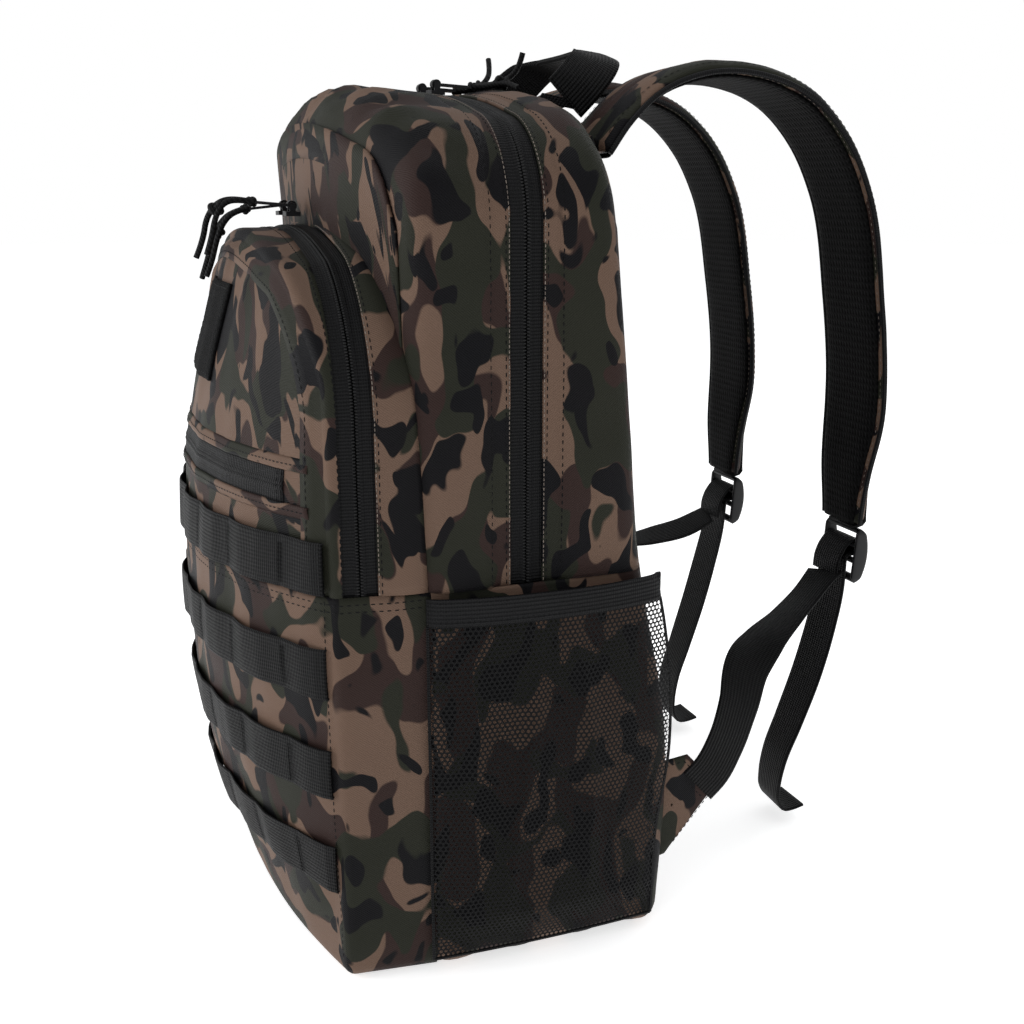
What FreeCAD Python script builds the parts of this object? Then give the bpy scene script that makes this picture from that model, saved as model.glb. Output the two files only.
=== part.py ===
import FreeCAD, Part
import math
import os
from FreeCAD import Placement, Rotation, Vector

# A camouflage day pack for tackle. Millimetres. +X is the wearer's right-hand side seen from
# the front pocket, -Y is the front pocket's face, +Y the wearer's back, +Z up.
# The origin is on the ground under the middle of the pack.

doc = FreeCAD.newDocument("tackle_backpack")
sheet = doc.addObject("Spreadsheet::Sheet", "sizes")

SIZES = [
    ("half_width", 148, "half of the pack's width at its side seams"),
    ("pack_top", 427, "height of the top panel at the middle"),
    ("top_radius", 407, "radius of the top panel's arch, seen from the front"),
    ("wall", 3, "fabric, foam and lining of the main compartment"),
    ("pocket_wall", 2.5, "fabric and lining of the front pocket"),
    ("hinge_height", 200, "seam where both zips end and the flaps fold down"),
    ("flap_gap", 0.4, "slit between a flap and what it closes on"),
    ("main_zip_y", 10, "plane of the main zip"),
    ("pocket_zip_y", -68, "plane of the front pocket's zip"),
    ("tape_width", 8, "visible half of a zip tape with its coil"),
    ("tape_thick", 1.5, "zip tape with its coil"),
    ("pocket_top", 366, "height of the front pocket's arch"),
    ("pocket_radius", 343, "radius of the front pocket's arch, seen from the front"),
    ("pocket_inset", 8, "the pocket's face is narrower than the pack by this on each side"),
    ("pocket_edge_y", -80, "where the pocket's face meets its gusset"),
    ("webbing_width", 25.4, "all flat webbing"),
    ("webbing_thick", 1.8, "all flat webbing"),
    ("molle_pitch", 50.8, "height from one webbing row to the next"),
    ("skin_gap", 0.3, "clearance of a sewn-on piece from the skin below it"),
    ("small_zip_low", 240, "lower edge of the small pocket's zip"),
    ("small_zip_band", 17, "height of the small pocket's zip band"),
    ("small_zip_half", 115, "half length of the small pocket's zip"),
    ("patch_half", 33, "half width of the loop patch"),
    ("patch_low", 286, "lower edge of the loop patch"),
    ("patch_tall", 48, "height of the loop patch"),
    ("mesh_stand", 9, "how far a side pocket stands off the side panel"),
    ("mesh_thick", 1.2, "mesh of a side pocket"),
    ("mesh_drop", 2, "from the hinge line down to a side pocket's rim"),
    ("rim_tall", 13, "height of the elastic rim"),
    ("strap_x", 70, "middle of a shoulder strap from the pack's middle"),
    ("strap_width", 54, "width of a shoulder strap"),
    ("strap_foam", 5.6, "foam and camouflage fabric of a strap"),
    ("strap_mesh", 2.4, "spacer mesh on a strap's inner side"),
    ("back_pad_thick", 6, "spacer mesh panel on the wearer's side"),
    ("back_pad_margin", 26, "from the pack's side seam to the back panel's pad"),
    ("board_thick", 2, "stiffener boards"),
    ("lock_rail", 3.5, "side rail of a ladder lock, outside its slots"),
    ("lock_height", 33, "ladder lock"),
    ("lock_thick", 5, "ladder lock"),
    ("bar_radius", 1.1, "bar that a zip pull hangs on"),
    ("bar_height", 5.5, "bar's height over the zip"),
    ("tab_length", 19, "metal tab of a zip pull"),
    ("tab_width", 5.4, "metal tab of a zip pull"),
    ("tab_thick", 1.4, "metal tab of a zip pull"),
    ("turn_gap", 0.3, "running gap of a ring round its bar"),
    ("cord_diameter", 3, "cord of a zip pull"),
    ("handle_half", 55, "half span of the haul handle"),
    ("handle_rise", 34, "rise of the haul handle above its seam"),
    ("handle_lean", 46, "angle at which the haul handle leans back"),
]
for row, (alias, value, note) in enumerate(SIZES, start=1):
    sheet.set(f"A{row}", note)
    sheet.set(f"B{row}", str(value))
    sheet.setAlias(f"B{row}", alias)
doc.recompute()


def size(alias):
    return float(sheet.get(alias))


W, HINGE, GAP = size("half_width"), size("hinge_height"), size("flap_gap")
TOP = size("pack_top")
POCKET_HALF = W - size("pocket_inset")
BACK_PAD_HALF = W - size("back_pad_margin")
SLOT_PLAY = 0.8
BELOW, ABOVE = HINGE - GAP / 2, HINGE + GAP / 2
ZIP_Y, POCKET_ZIP_Y, TAPE = size("main_zip_y"), size("pocket_zip_y"), size("tape_width")
FAR = 600.0
nodes = []


def helper(name, shape):
    """A construction shape that node objects refer to."""
    feature = doc.addObject("Part::Feature", name)
    feature.Shape = shape
    return feature


def node(obj, label):
    obj.Label = label
    nodes.append(obj)
    return obj


def bind(obj, **cells):
    for name, expression in cells.items():
        obj.setExpression(name.replace("__", "."), expression)
    return obj


def boolean(kind, name, base, *tools):
    """Part::Cut of base by one tool, or Part::MultiCommon or MultiFuse of them all."""
    obj = doc.addObject("Part::" + kind, name)
    if kind == "Cut":
        obj.Base, obj.Tool = base, tools[0]
    else:
        obj.Shapes = [base, *tools]
    return obj


def box(name, low, high, **cells):
    obj = doc.addObject("Part::Box", name)
    obj.Length, obj.Width, obj.Height = [b - a for a, b in zip(low, high)]
    obj.Placement.Base = Vector(*low)
    return bind(obj, **cells)


def extrusion(name, outline, direction, length, expression=None):
    """Solid from a closed outline, centred on the outline's plane."""
    obj = doc.addObject("Part::Extrusion", name)
    obj.Base = helper(name + "_outline", outline)
    obj.Dir = direction
    obj.DirMode = "Custom"
    obj.LengthFwd = length
    obj.Solid = True
    obj.Symmetric = True
    if expression:
        obj.setExpression("LengthFwd", expression)
    return obj


def arc(a, b, c):
    return Part.Arc(Vector(*a), Vector(*b), Vector(*c)).toShape()


def line(a, b):
    return Part.LineSegment(Vector(*a), Vector(*b)).toShape()


def ribbon(path, thick, x=0.0, start=0.0):
    """Closed outline in the plane x of a band that lies on a smooth path of (y, z) points.
    Its thickness runs from start to start + thick on the left of the path."""
    count = len(path)
    sides = [[], []]
    for i, (y, z) in enumerate(path):
        before, after = path[max(i - 1, 0)], path[min(i + 1, count - 1)]
        run = Vector(0, after[0] - before[0], after[1] - before[1]).normalize()
        left = Vector(0, -run.z, run.y)
        for side, off in zip(sides, (start, start + thick)):
            side.append(Vector(x, y, z) + left * off)
    curves = []
    for side in sides:
        curve = Part.BSplineCurve()
        curve.interpolate(side)
        curves.append(curve.toShape())
    ends = [line(sides[0][k], sides[1][k]) for k in (0, -1)]
    return Part.Wire(Part.__sortEdges__([curves[0], ends[1], curves[1], ends[0]]))


# ---------------------------------------------------------------- outer volumes
# Plan sections of the main compartment: height, share of the half width, then the y of its
# front at the side seams and in the middle, and of its back in the same two places.
MAIN_SECTIONS = [
    (0, 1.0, -40, -44, 88, 93),
    (0.55 * HINGE, 1.0, -40, -48, 90, 98),
    (HINGE, 1.0, -40, -52, 73, 84),
    (HINGE + 100, 1.0, -44, -56, 63, 75),
    (TOP - 27, 0.99, -46, -62, 53, 66),
    (TOP + 13, 0.98, -46, -63, 49, 62),
]
# Sections of the front pocket: height and the y of its face in the middle.
POCKET_TOP = size("pocket_top")
POCKET_SECTIONS = [
    (0, -103), (55, -119), (112, -128), (160, -131), (206, -129.5),
    (244, -126), (POCKET_TOP - 79, -118), (POCKET_TOP - 33, -104), (POCKET_TOP + 9, -90),
]
POCKET_ROOT_Y = -30.0


def main_section(z, share, front_side, front_mid, back_side, back_mid, inset):
    half = W * share - inset
    front, back = front_side + inset, back_side - inset
    return Part.Wire([
        arc((-half, front, z), (0, front_mid + inset, z), (half, front, z)),
        line((half, front, z), (half, back, z)),
        arc((half, back, z), (0, back_mid - inset, z), (-half, back, z)),
        line((-half, back, z), (-half, front, z)),
    ])


def main_volume(name, inset):
    """The main compartment's outer shape, moved inwards by inset."""
    levels = [list(row) for row in MAIN_SECTIONS]
    levels[0][0] += inset
    body = Part.makeLoft([main_section(*row, inset) for row in levels], True)
    top, radius = TOP - inset, size("top_radius") - inset
    shoulder, corner = W - 44, 50.0
    drop = radius - math.sqrt(radius ** 2 - shoulder ** 2)
    edge = W + 5
    side = W - inset
    front_view = Part.Wire([
        arc((-shoulder, 0, top - drop), (0, 0, top), (shoulder, 0, top - drop)),
        arc((shoulder, 0, top - drop), (side - 12, 0, top - drop - 18), (side, 0, top - drop - corner)),
        line((side, 0, top - drop - corner), (edge, 0, -10)),
        line((edge, 0, -10), (-edge, 0, -10)),
        line((-edge, 0, -10), (-side, 0, top - drop - corner)),
        arc((-side, 0, top - drop - corner), (-side + 12, 0, top - drop - 18),
            (-shoulder, 0, top - drop)),
    ])
    front_edge = MAIN_SECTIONS[-1][3] + inset
    back_edge = MAIN_SECTIONS[-1][5] + 0.5 - inset
    side_view = Part.Wire([
        line((0, -90, -10), (0, -90, top - 60)),
        line((0, -90, top - 60), (0, front_edge - 1, top - 24)),
        arc((0, front_edge - 1, top - 24), (0, front_edge + 6, top - 8), (0, front_edge + 24, top)),
        line((0, front_edge + 24, top), (0, back_edge - 20, top)),
        arc((0, back_edge - 20, top), (0, back_edge - 5, top - 7), (0, back_edge + 1, top - 22)),
        line((0, back_edge + 1, top - 22), (0, 120, top - 200)),
        line((0, 120, top - 200), (0, 120, -10)),
        line((0, 120, -10), (0, -90, -10)),
    ])
    return boolean(
        "MultiCommon", name, helper(name + "_loft", body),
        extrusion(name + "_front", front_view, Vector(0, 1, 0), FAR),
        extrusion(name + "_side", side_view, Vector(1, 0, 0), FAR))


def pocket_section(z, middle, inset):
    half, edge = POCKET_HALF - inset, size("pocket_edge_y") + inset
    rear = W - 2 - inset
    return Part.Wire([
        arc((-half, edge, z), (0, middle + inset, z), (half, edge, z)),
        line((half, edge, z), (rear, POCKET_ROOT_Y, z)),
        line((rear, POCKET_ROOT_Y, z), (-rear, POCKET_ROOT_Y, z)),
        line((-rear, POCKET_ROOT_Y, z), (-half, edge, z)),
    ])


def pocket_volume(name, inset):
    """The front pocket's outer shape, moved inwards by inset (outwards where negative)."""
    levels = [list(row) for row in POCKET_SECTIONS]
    levels[0][0] += max(inset, 0)
    body = Part.makeLoft([pocket_section(*row, inset) for row in levels], True)
    top, radius = POCKET_TOP - inset, size("pocket_radius") - inset
    shoulder = W - 51
    drop = radius - math.sqrt(radius ** 2 - shoulder ** 2)
    side = W - 2 - inset
    spring = POCKET_TOP - 84
    arch = Part.Wire([
        arc((-shoulder, 0, top - drop), (0, 0, top), (shoulder, 0, top - drop)),
        arc((shoulder, 0, top - drop), (side - 15, 0, spring + 42 - inset), (side, 0, spring)),
        line((side, 0, spring), (side, 0, -10)),
        line((side, 0, -10), (-side, 0, -10)),
        line((-side, 0, -10), (-side, 0, spring)),
        arc((-side, 0, spring), (-side + 15, 0, spring + 42 - inset), (-shoulder, 0, top - drop)),
    ])
    return boolean("MultiCommon", name, helper(name + "_loft", body),
                   extrusion(name + "_arch", arch, Vector(0, 1, 0), FAR))


def region(name, low_y, high_y, low_z, high_z, half=FAR / 2):
    return box(name, (-half, low_y, low_z), (half, high_y, high_z))


main_outer = main_volume("main_outer", 0)
main_ring = boolean("Cut", "main_ring", main_outer, main_volume("main_inner", size("wall")))
main_tape_ring = boolean("Cut", "main_tape_ring", main_outer,
                         main_volume("main_tape_inner", size("tape_thick")))
main_clear = main_volume("main_clear", -size("skin_gap"))
pocket_outer = pocket_volume("pocket_outer", 0)


def pocket_ring_of(name, wall):
    """Pocket wall that stops where it meets the main compartment's front panel."""
    ring = boolean("Cut", name + "_whole", pocket_outer, pocket_volume(name + "_inner", wall))
    return boolean("Cut", name, ring, main_clear)


pocket_ring = pocket_ring_of("pocket_ring", size("pocket_wall"))
pocket_tape_ring = pocket_ring_of("pocket_tape_ring", size("tape_thick"))

# ---------------------------------------------------------------- main compartment
root_region = boolean("MultiFuse", "root_region",
                      region("root_low", -FAR, FAR, -5, BELOW),
                      region("root_back", ZIP_Y + TAPE, FAR, -5, FAR))
node(boolean("MultiCommon", "MainShell", main_ring, root_region), "main_shell")
node(boolean("MultiCommon", "FlapShell", main_ring,
             region("flap_region", -FAR, ZIP_Y - TAPE, ABOVE, FAR)), "flap_shell")
node(boolean("MultiCommon", "MainZipRear", main_tape_ring,
             region("zip_rear_region", ZIP_Y + GAP / 2, ZIP_Y + TAPE, BELOW, FAR)), "main_zip_rear")
node(boolean("MultiCommon", "MainZipFront", main_tape_ring,
             region("zip_front_region", ZIP_Y - TAPE, ZIP_Y - GAP / 2, ABOVE, FAR)),
     "main_zip_front")

# ---------------------------------------------------------------- front pocket
node(boolean("MultiCommon", "PocketBase", pocket_ring,
             region("pocket_low", -FAR, FAR, -5, BELOW)), "pocket_base")
node(boolean("MultiCommon", "PocketGusset", pocket_ring,
             region("gusset_region", POCKET_ZIP_Y + TAPE, FAR, ABOVE, FAR)), "pocket_gusset")
node(boolean("MultiCommon", "PocketZipRear", pocket_tape_ring,
             region("pocket_rear_region", POCKET_ZIP_Y + GAP / 2, POCKET_ZIP_Y + TAPE, ABOVE, FAR)),
     "pocket_zip_rear")
node(boolean("MultiCommon", "PocketZipFront", pocket_tape_ring,
             region("pocket_front_region", POCKET_ZIP_Y - TAPE, POCKET_ZIP_Y - GAP / 2, ABOVE, FAR)),
     "pocket_zip_front")
node(boolean("MultiCommon", "PocketFace", pocket_ring,
             region("face_region", -FAR, POCKET_ZIP_Y - TAPE, ABOVE, FAR)), "pocket_face")


def on_face(name, thick, half, low, tall, label, **cells):
    """A band that lies on the pocket's face: thick, 2 * half wide, from low up by tall."""
    gap = size("skin_gap")
    skin = boolean("Cut", name + "_skin", pocket_volume(name + "_out", -gap - thick),
                   pocket_volume(name + "_in", -gap))
    window = box(name + "_window", (-half, -FAR, low), (half, size("pocket_edge_y"), low + tall),
                 **cells)
    return node(boolean("MultiCommon", name, skin, window), label)


# The top row's lower edge lies on the seam that the flaps fold at.
for row_number in range(4):
    on_face(f"MolleRow{row_number + 1}", size("webbing_thick"), POCKET_HALF - 3,
            ABOVE + (row_number - 3) * size("molle_pitch"), size("webbing_width"),
            f"molle_row_{row_number + 1}", Height="sizes.webbing_width",
            Placement__Base__z="sizes.hinge_height + sizes.flap_gap / 2"
                               f" + ({row_number} - 3) * sizes.molle_pitch")
on_face("SmallZip", 1.3, size("small_zip_half"), size("small_zip_low"), size("small_zip_band"),
        "small_zip", Height="sizes.small_zip_band", Placement__Base__z="sizes.small_zip_low")
on_face("LoopPatch", 1.5, size("patch_half"), size("patch_low"), size("patch_tall"),
        "loop_patch", Height="sizes.patch_tall", Placement__Base__z="sizes.patch_low")
bag_wall = size("pocket_wall") + size("skin_gap")
small_bag_skin = boolean("Cut", "small_bag_skin", pocket_volume("small_bag_out", bag_wall),
                         pocket_volume("small_bag_in", bag_wall + 1.5))
node(boolean("MultiCommon", "SmallBag", small_bag_skin,
             box("small_bag_window", (-size("small_zip_half"), -FAR, HINGE + 8),
                 (size("small_zip_half"), -90, size("small_zip_low") + size("small_zip_band")))),
     "small_pocket_bag")

# ---------------------------------------------------------------- boards and back panel
board = box("BaseBoard", (-W + 14, -34, size("wall") + 0.3), (W - 14, 78, 0),
            Height="sizes.board_thick", Placement__Base__z="sizes.wall + 0.3",
            Length="2 * sizes.half_width - 28", Placement__Base__x="14 - sizes.half_width")
rounded = doc.addObject("Part::Fillet", "BaseBoardRounded")
rounded.Base = board
doc.recompute()
upright = [i for i, e in enumerate(board.Shape.Edges, 1) if abs(e.tangentAt(0).z) > 0.9]
rounded.Edges = [(i, 18.0, 18.0) for i in upright]
node(rounded, "base_board")


def back_sheet(name, label, outset, thick, half, low, high):
    """A sheet that follows the back of the main compartment between two heights."""
    levels_out = [list(row) for row in MAIN_SECTIONS]
    solids = []
    for k, off in enumerate((outset + thick, outset)):
        sections = []
        for z, share, front_side, front_mid, back_side, back_mid in levels_out:
            sections.append(Part.Wire([
                arc((W * share, back_side + off, z), (0, back_mid + off, z),
                    (-W * share, back_side + off, z)),
                line((-W * share, back_side + off, z), (-W * share, -20, z)),
                line((-W * share, -20, z), (W * share, -20, z)),
                line((W * share, -20, z), (W * share, back_side + off, z))]))
        solids.append(helper(f"{name}_loft{k}", Part.makeLoft(sections, True)))
    sheet_solid = boolean("Cut", name + "_sheet", *solids)
    window = box(name + "_window", (-half, 0, low), (half, FAR, high))
    return node(boolean("MultiCommon", name, sheet_solid, window), label)


back_sheet("BackPad", "back_pad", size("skin_gap"), size("back_pad_thick"),
           BACK_PAD_HALF, 28, TOP - 55)
back_sheet("BackFoam", "back_foam", -size("wall") - 1.3 - size("board_thick"),
           size("board_thick"), BACK_PAD_HALF, 24, TOP - 47)
back_sheet("YokePatch", "yoke_patch", size("skin_gap"), 2.2, size("strap_x") + 34,
           TOP - 51, TOP - 23)

# ---------------------------------------------------------------- side mesh pockets
SIDE_OUTLINE = [(-39, 3), (-39, HINGE), (76, HINGE), (88, 0.55 * HINGE), (87, 3)]
MESH_TOP = HINGE - size("mesh_drop")


def tray(name, sign, grow, low, high):
    """Block on a side panel, bounded by the panel's own outline, from low to high in |x|."""
    outline = [(y + (grow if y > 0 else -grow), z - (grow if z < 10 else 0))
               for y, z in SIDE_OUTLINE]
    wire = Part.makePolygon([Vector(sign * low, y, z) for y, z in outline + outline[:1]])
    return helper(name, Part.Face(wire).extrude(Vector(sign * (high - low), 0, 0)))


for side_name, sign in (("right", 1), ("left", -1)):
    stand, mesh = size("mesh_stand"), size("mesh_thick")
    skin = W + size("skin_gap")
    outer = tray(f"mesh_outer_{side_name}", sign, 0, skin, W + stand)
    hollow = tray(f"mesh_hollow_{side_name}", sign, -mesh, skin - 1, W + stand - mesh)
    hollow_up = helper(f"mesh_mouth_{side_name}", hollow.Shape.translated(Vector(0, 0, 1)))
    cup = boolean("Cut", f"mesh_cup_{side_name}", outer, hollow_up)
    cut_top = region(f"mesh_top_{side_name}", -FAR, FAR, 0, MESH_TOP - size("rim_tall"))
    node(boolean("MultiCommon", f"SideMesh_{side_name}", cup, cut_top), f"side_mesh_{side_name}")
    rim_outer = tray(f"rim_outer_{side_name}", sign, 0, skin, W + stand + 0.8)
    rim_cup = boolean("Cut", f"rim_cup_{side_name}", rim_outer, hollow_up)
    rim = region(f"rim_band_{side_name}", -FAR, FAR, MESH_TOP - size("rim_tall"), MESH_TOP)
    node(boolean("MultiCommon", f"Rim_{side_name}", rim_cup, rim), f"elastic_rim_{side_name}")

# ---------------------------------------------------------------- shoulder straps
# Inner face of a strap, from its seam under the yoke to the ladder lock, as (y, z).
STRAP_PATH = [(y, TOP - drop) for y, drop in (
    (74.5, 32.5), (86, 17), (101, 4), (125, -5), (156, -5), (185, 5),
    (207, 25), (222, 51), (235, 106), (242, 171), (239, 209), (239, 237))]
# Loose tail below the ladder lock.
TAIL_PATH = [(y, TOP - drop) for y, drop in (
    (237.8, 259), (236.4, 277), (231, 303), (223, 333), (213, 363), (205, 387),
    (203, 403), (208, 415))]
TAB_X, TAB_THICK = W - 9, 3.0
LOCK_PIVOT = (244.5, TOP - 240.5)
# Lower webbing, from the lock to the corner tab: shares of the way across and down, y, and
# the angle it has twisted by.
LOWER_ENDS_X = (size("strap_x"), TAB_X + 2.8)
LOWER_ENDS_Z = (LOCK_PIVOT[1] - 28.5, 73.0)
LOWER_PATH = [(0, 0, 234.6, 0), (0.1, 0.12, 216, 0), (0.25, 0.2, 196, 12), (0.45, 0.29, 172, 30),
              (0.61, 0.4, 154, 55), (0.81, 0.58, 141, 80), (0.95, 0.78, 128, 90),
              (1, 0.91, 118, 90), (1, 1, 110, 90)]


def strap(side_name, sign):
    x = sign * size("strap_x")
    width, mesh, foam = size("strap_width"), size("strap_mesh"), size("strap_foam")
    end_half, end_z = size("webbing_width") / 2 + 4.3, STRAP_PATH[-1][1]
    taper = Part.makePolygon([Vector(x + dx, 0, z) for dx, z in (
        (-width / 2, FAR), (width / 2, FAR), (width / 2, end_z + 60), (end_half, end_z),
        (end_half, end_z - 9), (-end_half, end_z - 9), (-end_half, end_z),
        (-width / 2, end_z + 60), (-width / 2, FAR))])
    layers = (("strap_mesh", 0, mesh), ("strap_pad", mesh + size("skin_gap"), foam))
    for part_name, start, thick in layers:
        band = extrusion(f"{part_name}_band_{side_name}",
                         ribbon(STRAP_PATH, thick, x, start), Vector(1, 0, 0),
                         width, "sizes.strap_width")
        trim = extrusion(f"{part_name}_trim_{side_name}", taper, Vector(0, 1, 0), 2 * FAR)
        node(boolean("MultiCommon", f"{part_name}_{side_name}_body", band, trim),
             f"{part_name}_{side_name}")


def strap_webbing(side_name, sign):
    """Webbing sewn on the outer face of the pad's end, and its loop under that end, which
    holds the ladder lock."""
    x, width, thick = sign * size("strap_x"), size("webbing_width"), size("webbing_thick")
    start = size("strap_mesh") + size("strap_foam") + 2 * size("skin_gap")
    whole = extrusion(f"webbing_band_{side_name}", ribbon(STRAP_PATH, thick, x, start),
                      Vector(1, 0, 0), width, "sizes.webbing_width")
    end_y, end_z = STRAP_PATH[-1]
    window = region(f"webbing_window_{side_name}", end_y - 20, FAR, end_z, end_z + 130)
    band = boolean("MultiCommon", f"webbing_flat_{side_name}", whole, window)
    outer_y = end_y + start + thick
    loop = box(f"webbing_loop_{side_name}", (x - width / 2, LOCK_PIVOT[0] - 1.5, end_z - 2.6),
               (x + width / 2, outer_y, end_z - 0.4), Length="sizes.webbing_width")
    edge = box(f"webbing_edge_{side_name}", (x - width / 2, outer_y - thick, end_z - 2.6),
               (x + width / 2, outer_y, end_z + 1), Length="sizes.webbing_width")
    return node(boolean("MultiFuse", f"UpperWebbing_{side_name}", band, loop, edge),
                f"upper_webbing_{side_name}")


def ladder_lock(side_name, sign):
    """Flat frame with two slots, hung from the webbing at the strap's end."""
    x = sign * size("strap_x")
    body = doc.addObject("PartDesign::Body", f"Lock_{side_name}")
    plane = next(f for f in body.Origin.OriginFeatures if f.Role == "XZ_Plane")
    frame = body.newObject("Sketcher::SketchObject", f"lock_frame_{side_name}")
    frame.AttachmentSupport, frame.MapMode = (plane, ""), "FlatFace"
    slot_half = size("webbing_width") / 2 + SLOT_PLAY
    wide, tall = slot_half + size("lock_rail"), size("lock_height")
    rectangle(frame, -wide, wide, -tall, 0)
    pad = body.newObject("PartDesign::Pad", f"lock_pad_{side_name}")
    pad.Profile = frame
    pad.Midplane = True
    pad.setExpression("Length", "sizes.lock_thick")
    slots = body.newObject("Sketcher::SketchObject", f"lock_slots_{side_name}")
    slots.AttachmentSupport, slots.MapMode = (plane, ""), "FlatFace"
    for low, high in ((-9, -3.5), (-18, -12.5), (-28, -22)):
        rectangle(slots, -slot_half, slot_half, low, high)
    pocket = body.newObject("PartDesign::Pocket", f"lock_pocket_{side_name}")
    pocket.Profile = slots
    pocket.Midplane = True
    pocket.Type = 1
    body.Placement = Placement(Vector(x, LOCK_PIVOT[0], LOCK_PIVOT[1]),
                               Rotation(Vector(1, 0, 0), -4))
    return node(body, f"ladder_lock_{side_name}")


def rectangle(sketch, left, right, low, high):
    corners = [Vector(left, low, 0), Vector(right, low, 0), Vector(right, high, 0),
               Vector(left, high, 0)]
    for k in range(4):
        sketch.addGeometry(Part.LineSegment(corners[k], corners[(k + 1) % 4]), False)


def webbing_loft(points, sign):
    """Flat band along the lower webbing's path. Its width is along X where it hasn't twisted
    and square to X where it has twisted by 90 degrees."""
    half, thick = size("webbing_width") / 2, size("webbing_thick")
    sections = []
    (start_x, end_x), (start_z, end_z) = LOWER_ENDS_X, LOWER_ENDS_Z
    points = [(start_x + (end_x - start_x) * share, y, start_z + (end_z - start_z) * down, twist)
              for share, down, y, twist in points]
    for i, (x, y, z, twist) in enumerate(points):
        before, after = points[max(i - 1, 0)], points[min(i + 1, len(points) - 1)]
        run = Vector(0, after[1] - before[1], after[2] - before[2]).normalize()
        left = Vector(0, -run.z, run.y)
        angle = math.radians(twist)
        across = Vector(math.cos(angle), 0, 0) + left * (sign * math.sin(angle))
        normal = run.cross(across) * (thick / 2)
        centre, across = Vector(sign * x, y, z), across * half
        corners = [centre - across - normal, centre + across - normal,
                   centre + across + normal, centre - across + normal]
        sections.append(Part.makePolygon(corners + corners[:1]))
    return Part.makeLoft(sections, True, True)


for side_name, sign in (("right", 1), ("left", -1)):
    strap(side_name, sign)
    strap_webbing(side_name, sign)
    ladder_lock(side_name, sign)
    x = sign * size("strap_x")
    node(extrusion(f"Tail_{side_name}", ribbon(TAIL_PATH, size("webbing_thick"), x),
                   Vector(1, 0, 0), size("webbing_width"), "sizes.webbing_width"),
         f"strap_tail_{side_name}")
    node(helper(f"LowerWebbing_{side_name}", webbing_loft(LOWER_PATH, sign)),
         f"lower_webbing_{side_name}")
    tab_outline = Part.makePolygon([Vector(sign * TAB_X, y, z) for y, z in (
        (80, 34), (80, 90), (104, 92), (122, 72), (92, 36), (80, 34))])
    tab = extrusion(f"tab_block_{side_name}", tab_outline, Vector(1, 0, 0), TAB_THICK)
    node(boolean("Cut", f"CornerTab_{side_name}", tab, main_clear), f"corner_tab_{side_name}")

# ---------------------------------------------------------------- haul handle
# A webbing arch that leans back over the straps from a hinge line in the yoke seam. Its
# anchors carry the same webbing down from that line to the pack.
HANDLE_Y, HANDLE_Z, HANDLE_SLOPE = 66.0, TOP - 3, math.radians(10)
half, rise = size("handle_half"), size("handle_rise")
thick = size("webbing_thick")
across = Vector(0, math.cos(HANDLE_SLOPE), -math.sin(HANDLE_SLOPE))


def handle_band(name, path):
    """Webbing that follows (x, height) points in the leaning plane of the handle."""
    outline = ribbon(path, thick)
    turn = Rotation(Vector(1, 0, 0), -size("handle_lean")).multiply(Rotation(Vector(0, 0, 1), -90))
    outline.Placement = Placement(Vector(0, HANDLE_Y, HANDLE_Z), turn)
    return extrusion(name, outline, across, size("webbing_width"), "sizes.webbing_width")


node(handle_band("HandleBand", [
    (-half, 0), (-half + 1, 12), (-half + 9, rise - 5), (-24, rise), (24, rise),
    (half - 9, rise - 5), (half - 1, 12), (half, 0)]), "haul_handle")
slope = Rotation(Vector(1, 0, 0), -math.degrees(HANDLE_SLOPE))
stub_depth, stub_drop = 12.0, 16.0
anchors = []
for k, side_x in enumerate((-half, half - thick)):
    stub = doc.addObject("Part::Box", f"anchor_stub{k}")
    stub.Width, stub.Height = stub_depth, stub_drop
    top_front = Vector(side_x, HANDLE_Y, HANDLE_Z) - across * (size("webbing_width") / 2)
    below = slope.multVec(Vector(0, 0, stub_drop + 0.5))
    stub.Placement = Placement(top_front - below, slope)
    anchors.append(bind(stub, Length="sizes.webbing_thick"))
anchor_pair = boolean("MultiFuse", "anchor_pair", *anchors)
node(boolean("Cut", "HandleAnchors", anchor_pair, main_clear), "handle_anchors")


# ---------------------------------------------------------------- zip sliders and pulls
def local_frame(origin, travel, out):
    """Placement whose local X is the slider's travel and local Z points away from the zip."""
    across = out.cross(travel)
    return Placement(origin, Rotation(travel, across, out, "ZXY"))


def slider(name, label, place):
    plate = doc.addObject("Part::Box", name + "_plate")
    plate.Length, plate.Width, plate.Height = 10, 7.4, 2.2
    plate.Placement.Base = Vector(-5, -3.7, 0.3)
    lugs = []
    for k, low in enumerate((-3.7, 2.5)):
        lug = doc.addObject("Part::Box", f"{name}_lug{k}")
        lug.Length, lug.Width = 1.2, 3
        lug.Placement.Base = Vector(low, -1.5, 2.0)
        bind(lug, Height="sizes.bar_height + sizes.bar_radius - 2")
        lugs.append(lug)
    bar = doc.addObject("Part::Cylinder", name + "_bar")
    bar.Height = 7.4
    bar.Placement = Placement(Vector(-3.7, 0, size("bar_height")), Rotation(Vector(0, 1, 0), 90))
    bind(bar, Radius="sizes.bar_radius")
    whole = boolean("MultiFuse", name, plate, *lugs, bar)
    whole.Placement = place
    return node(whole, label)


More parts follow.
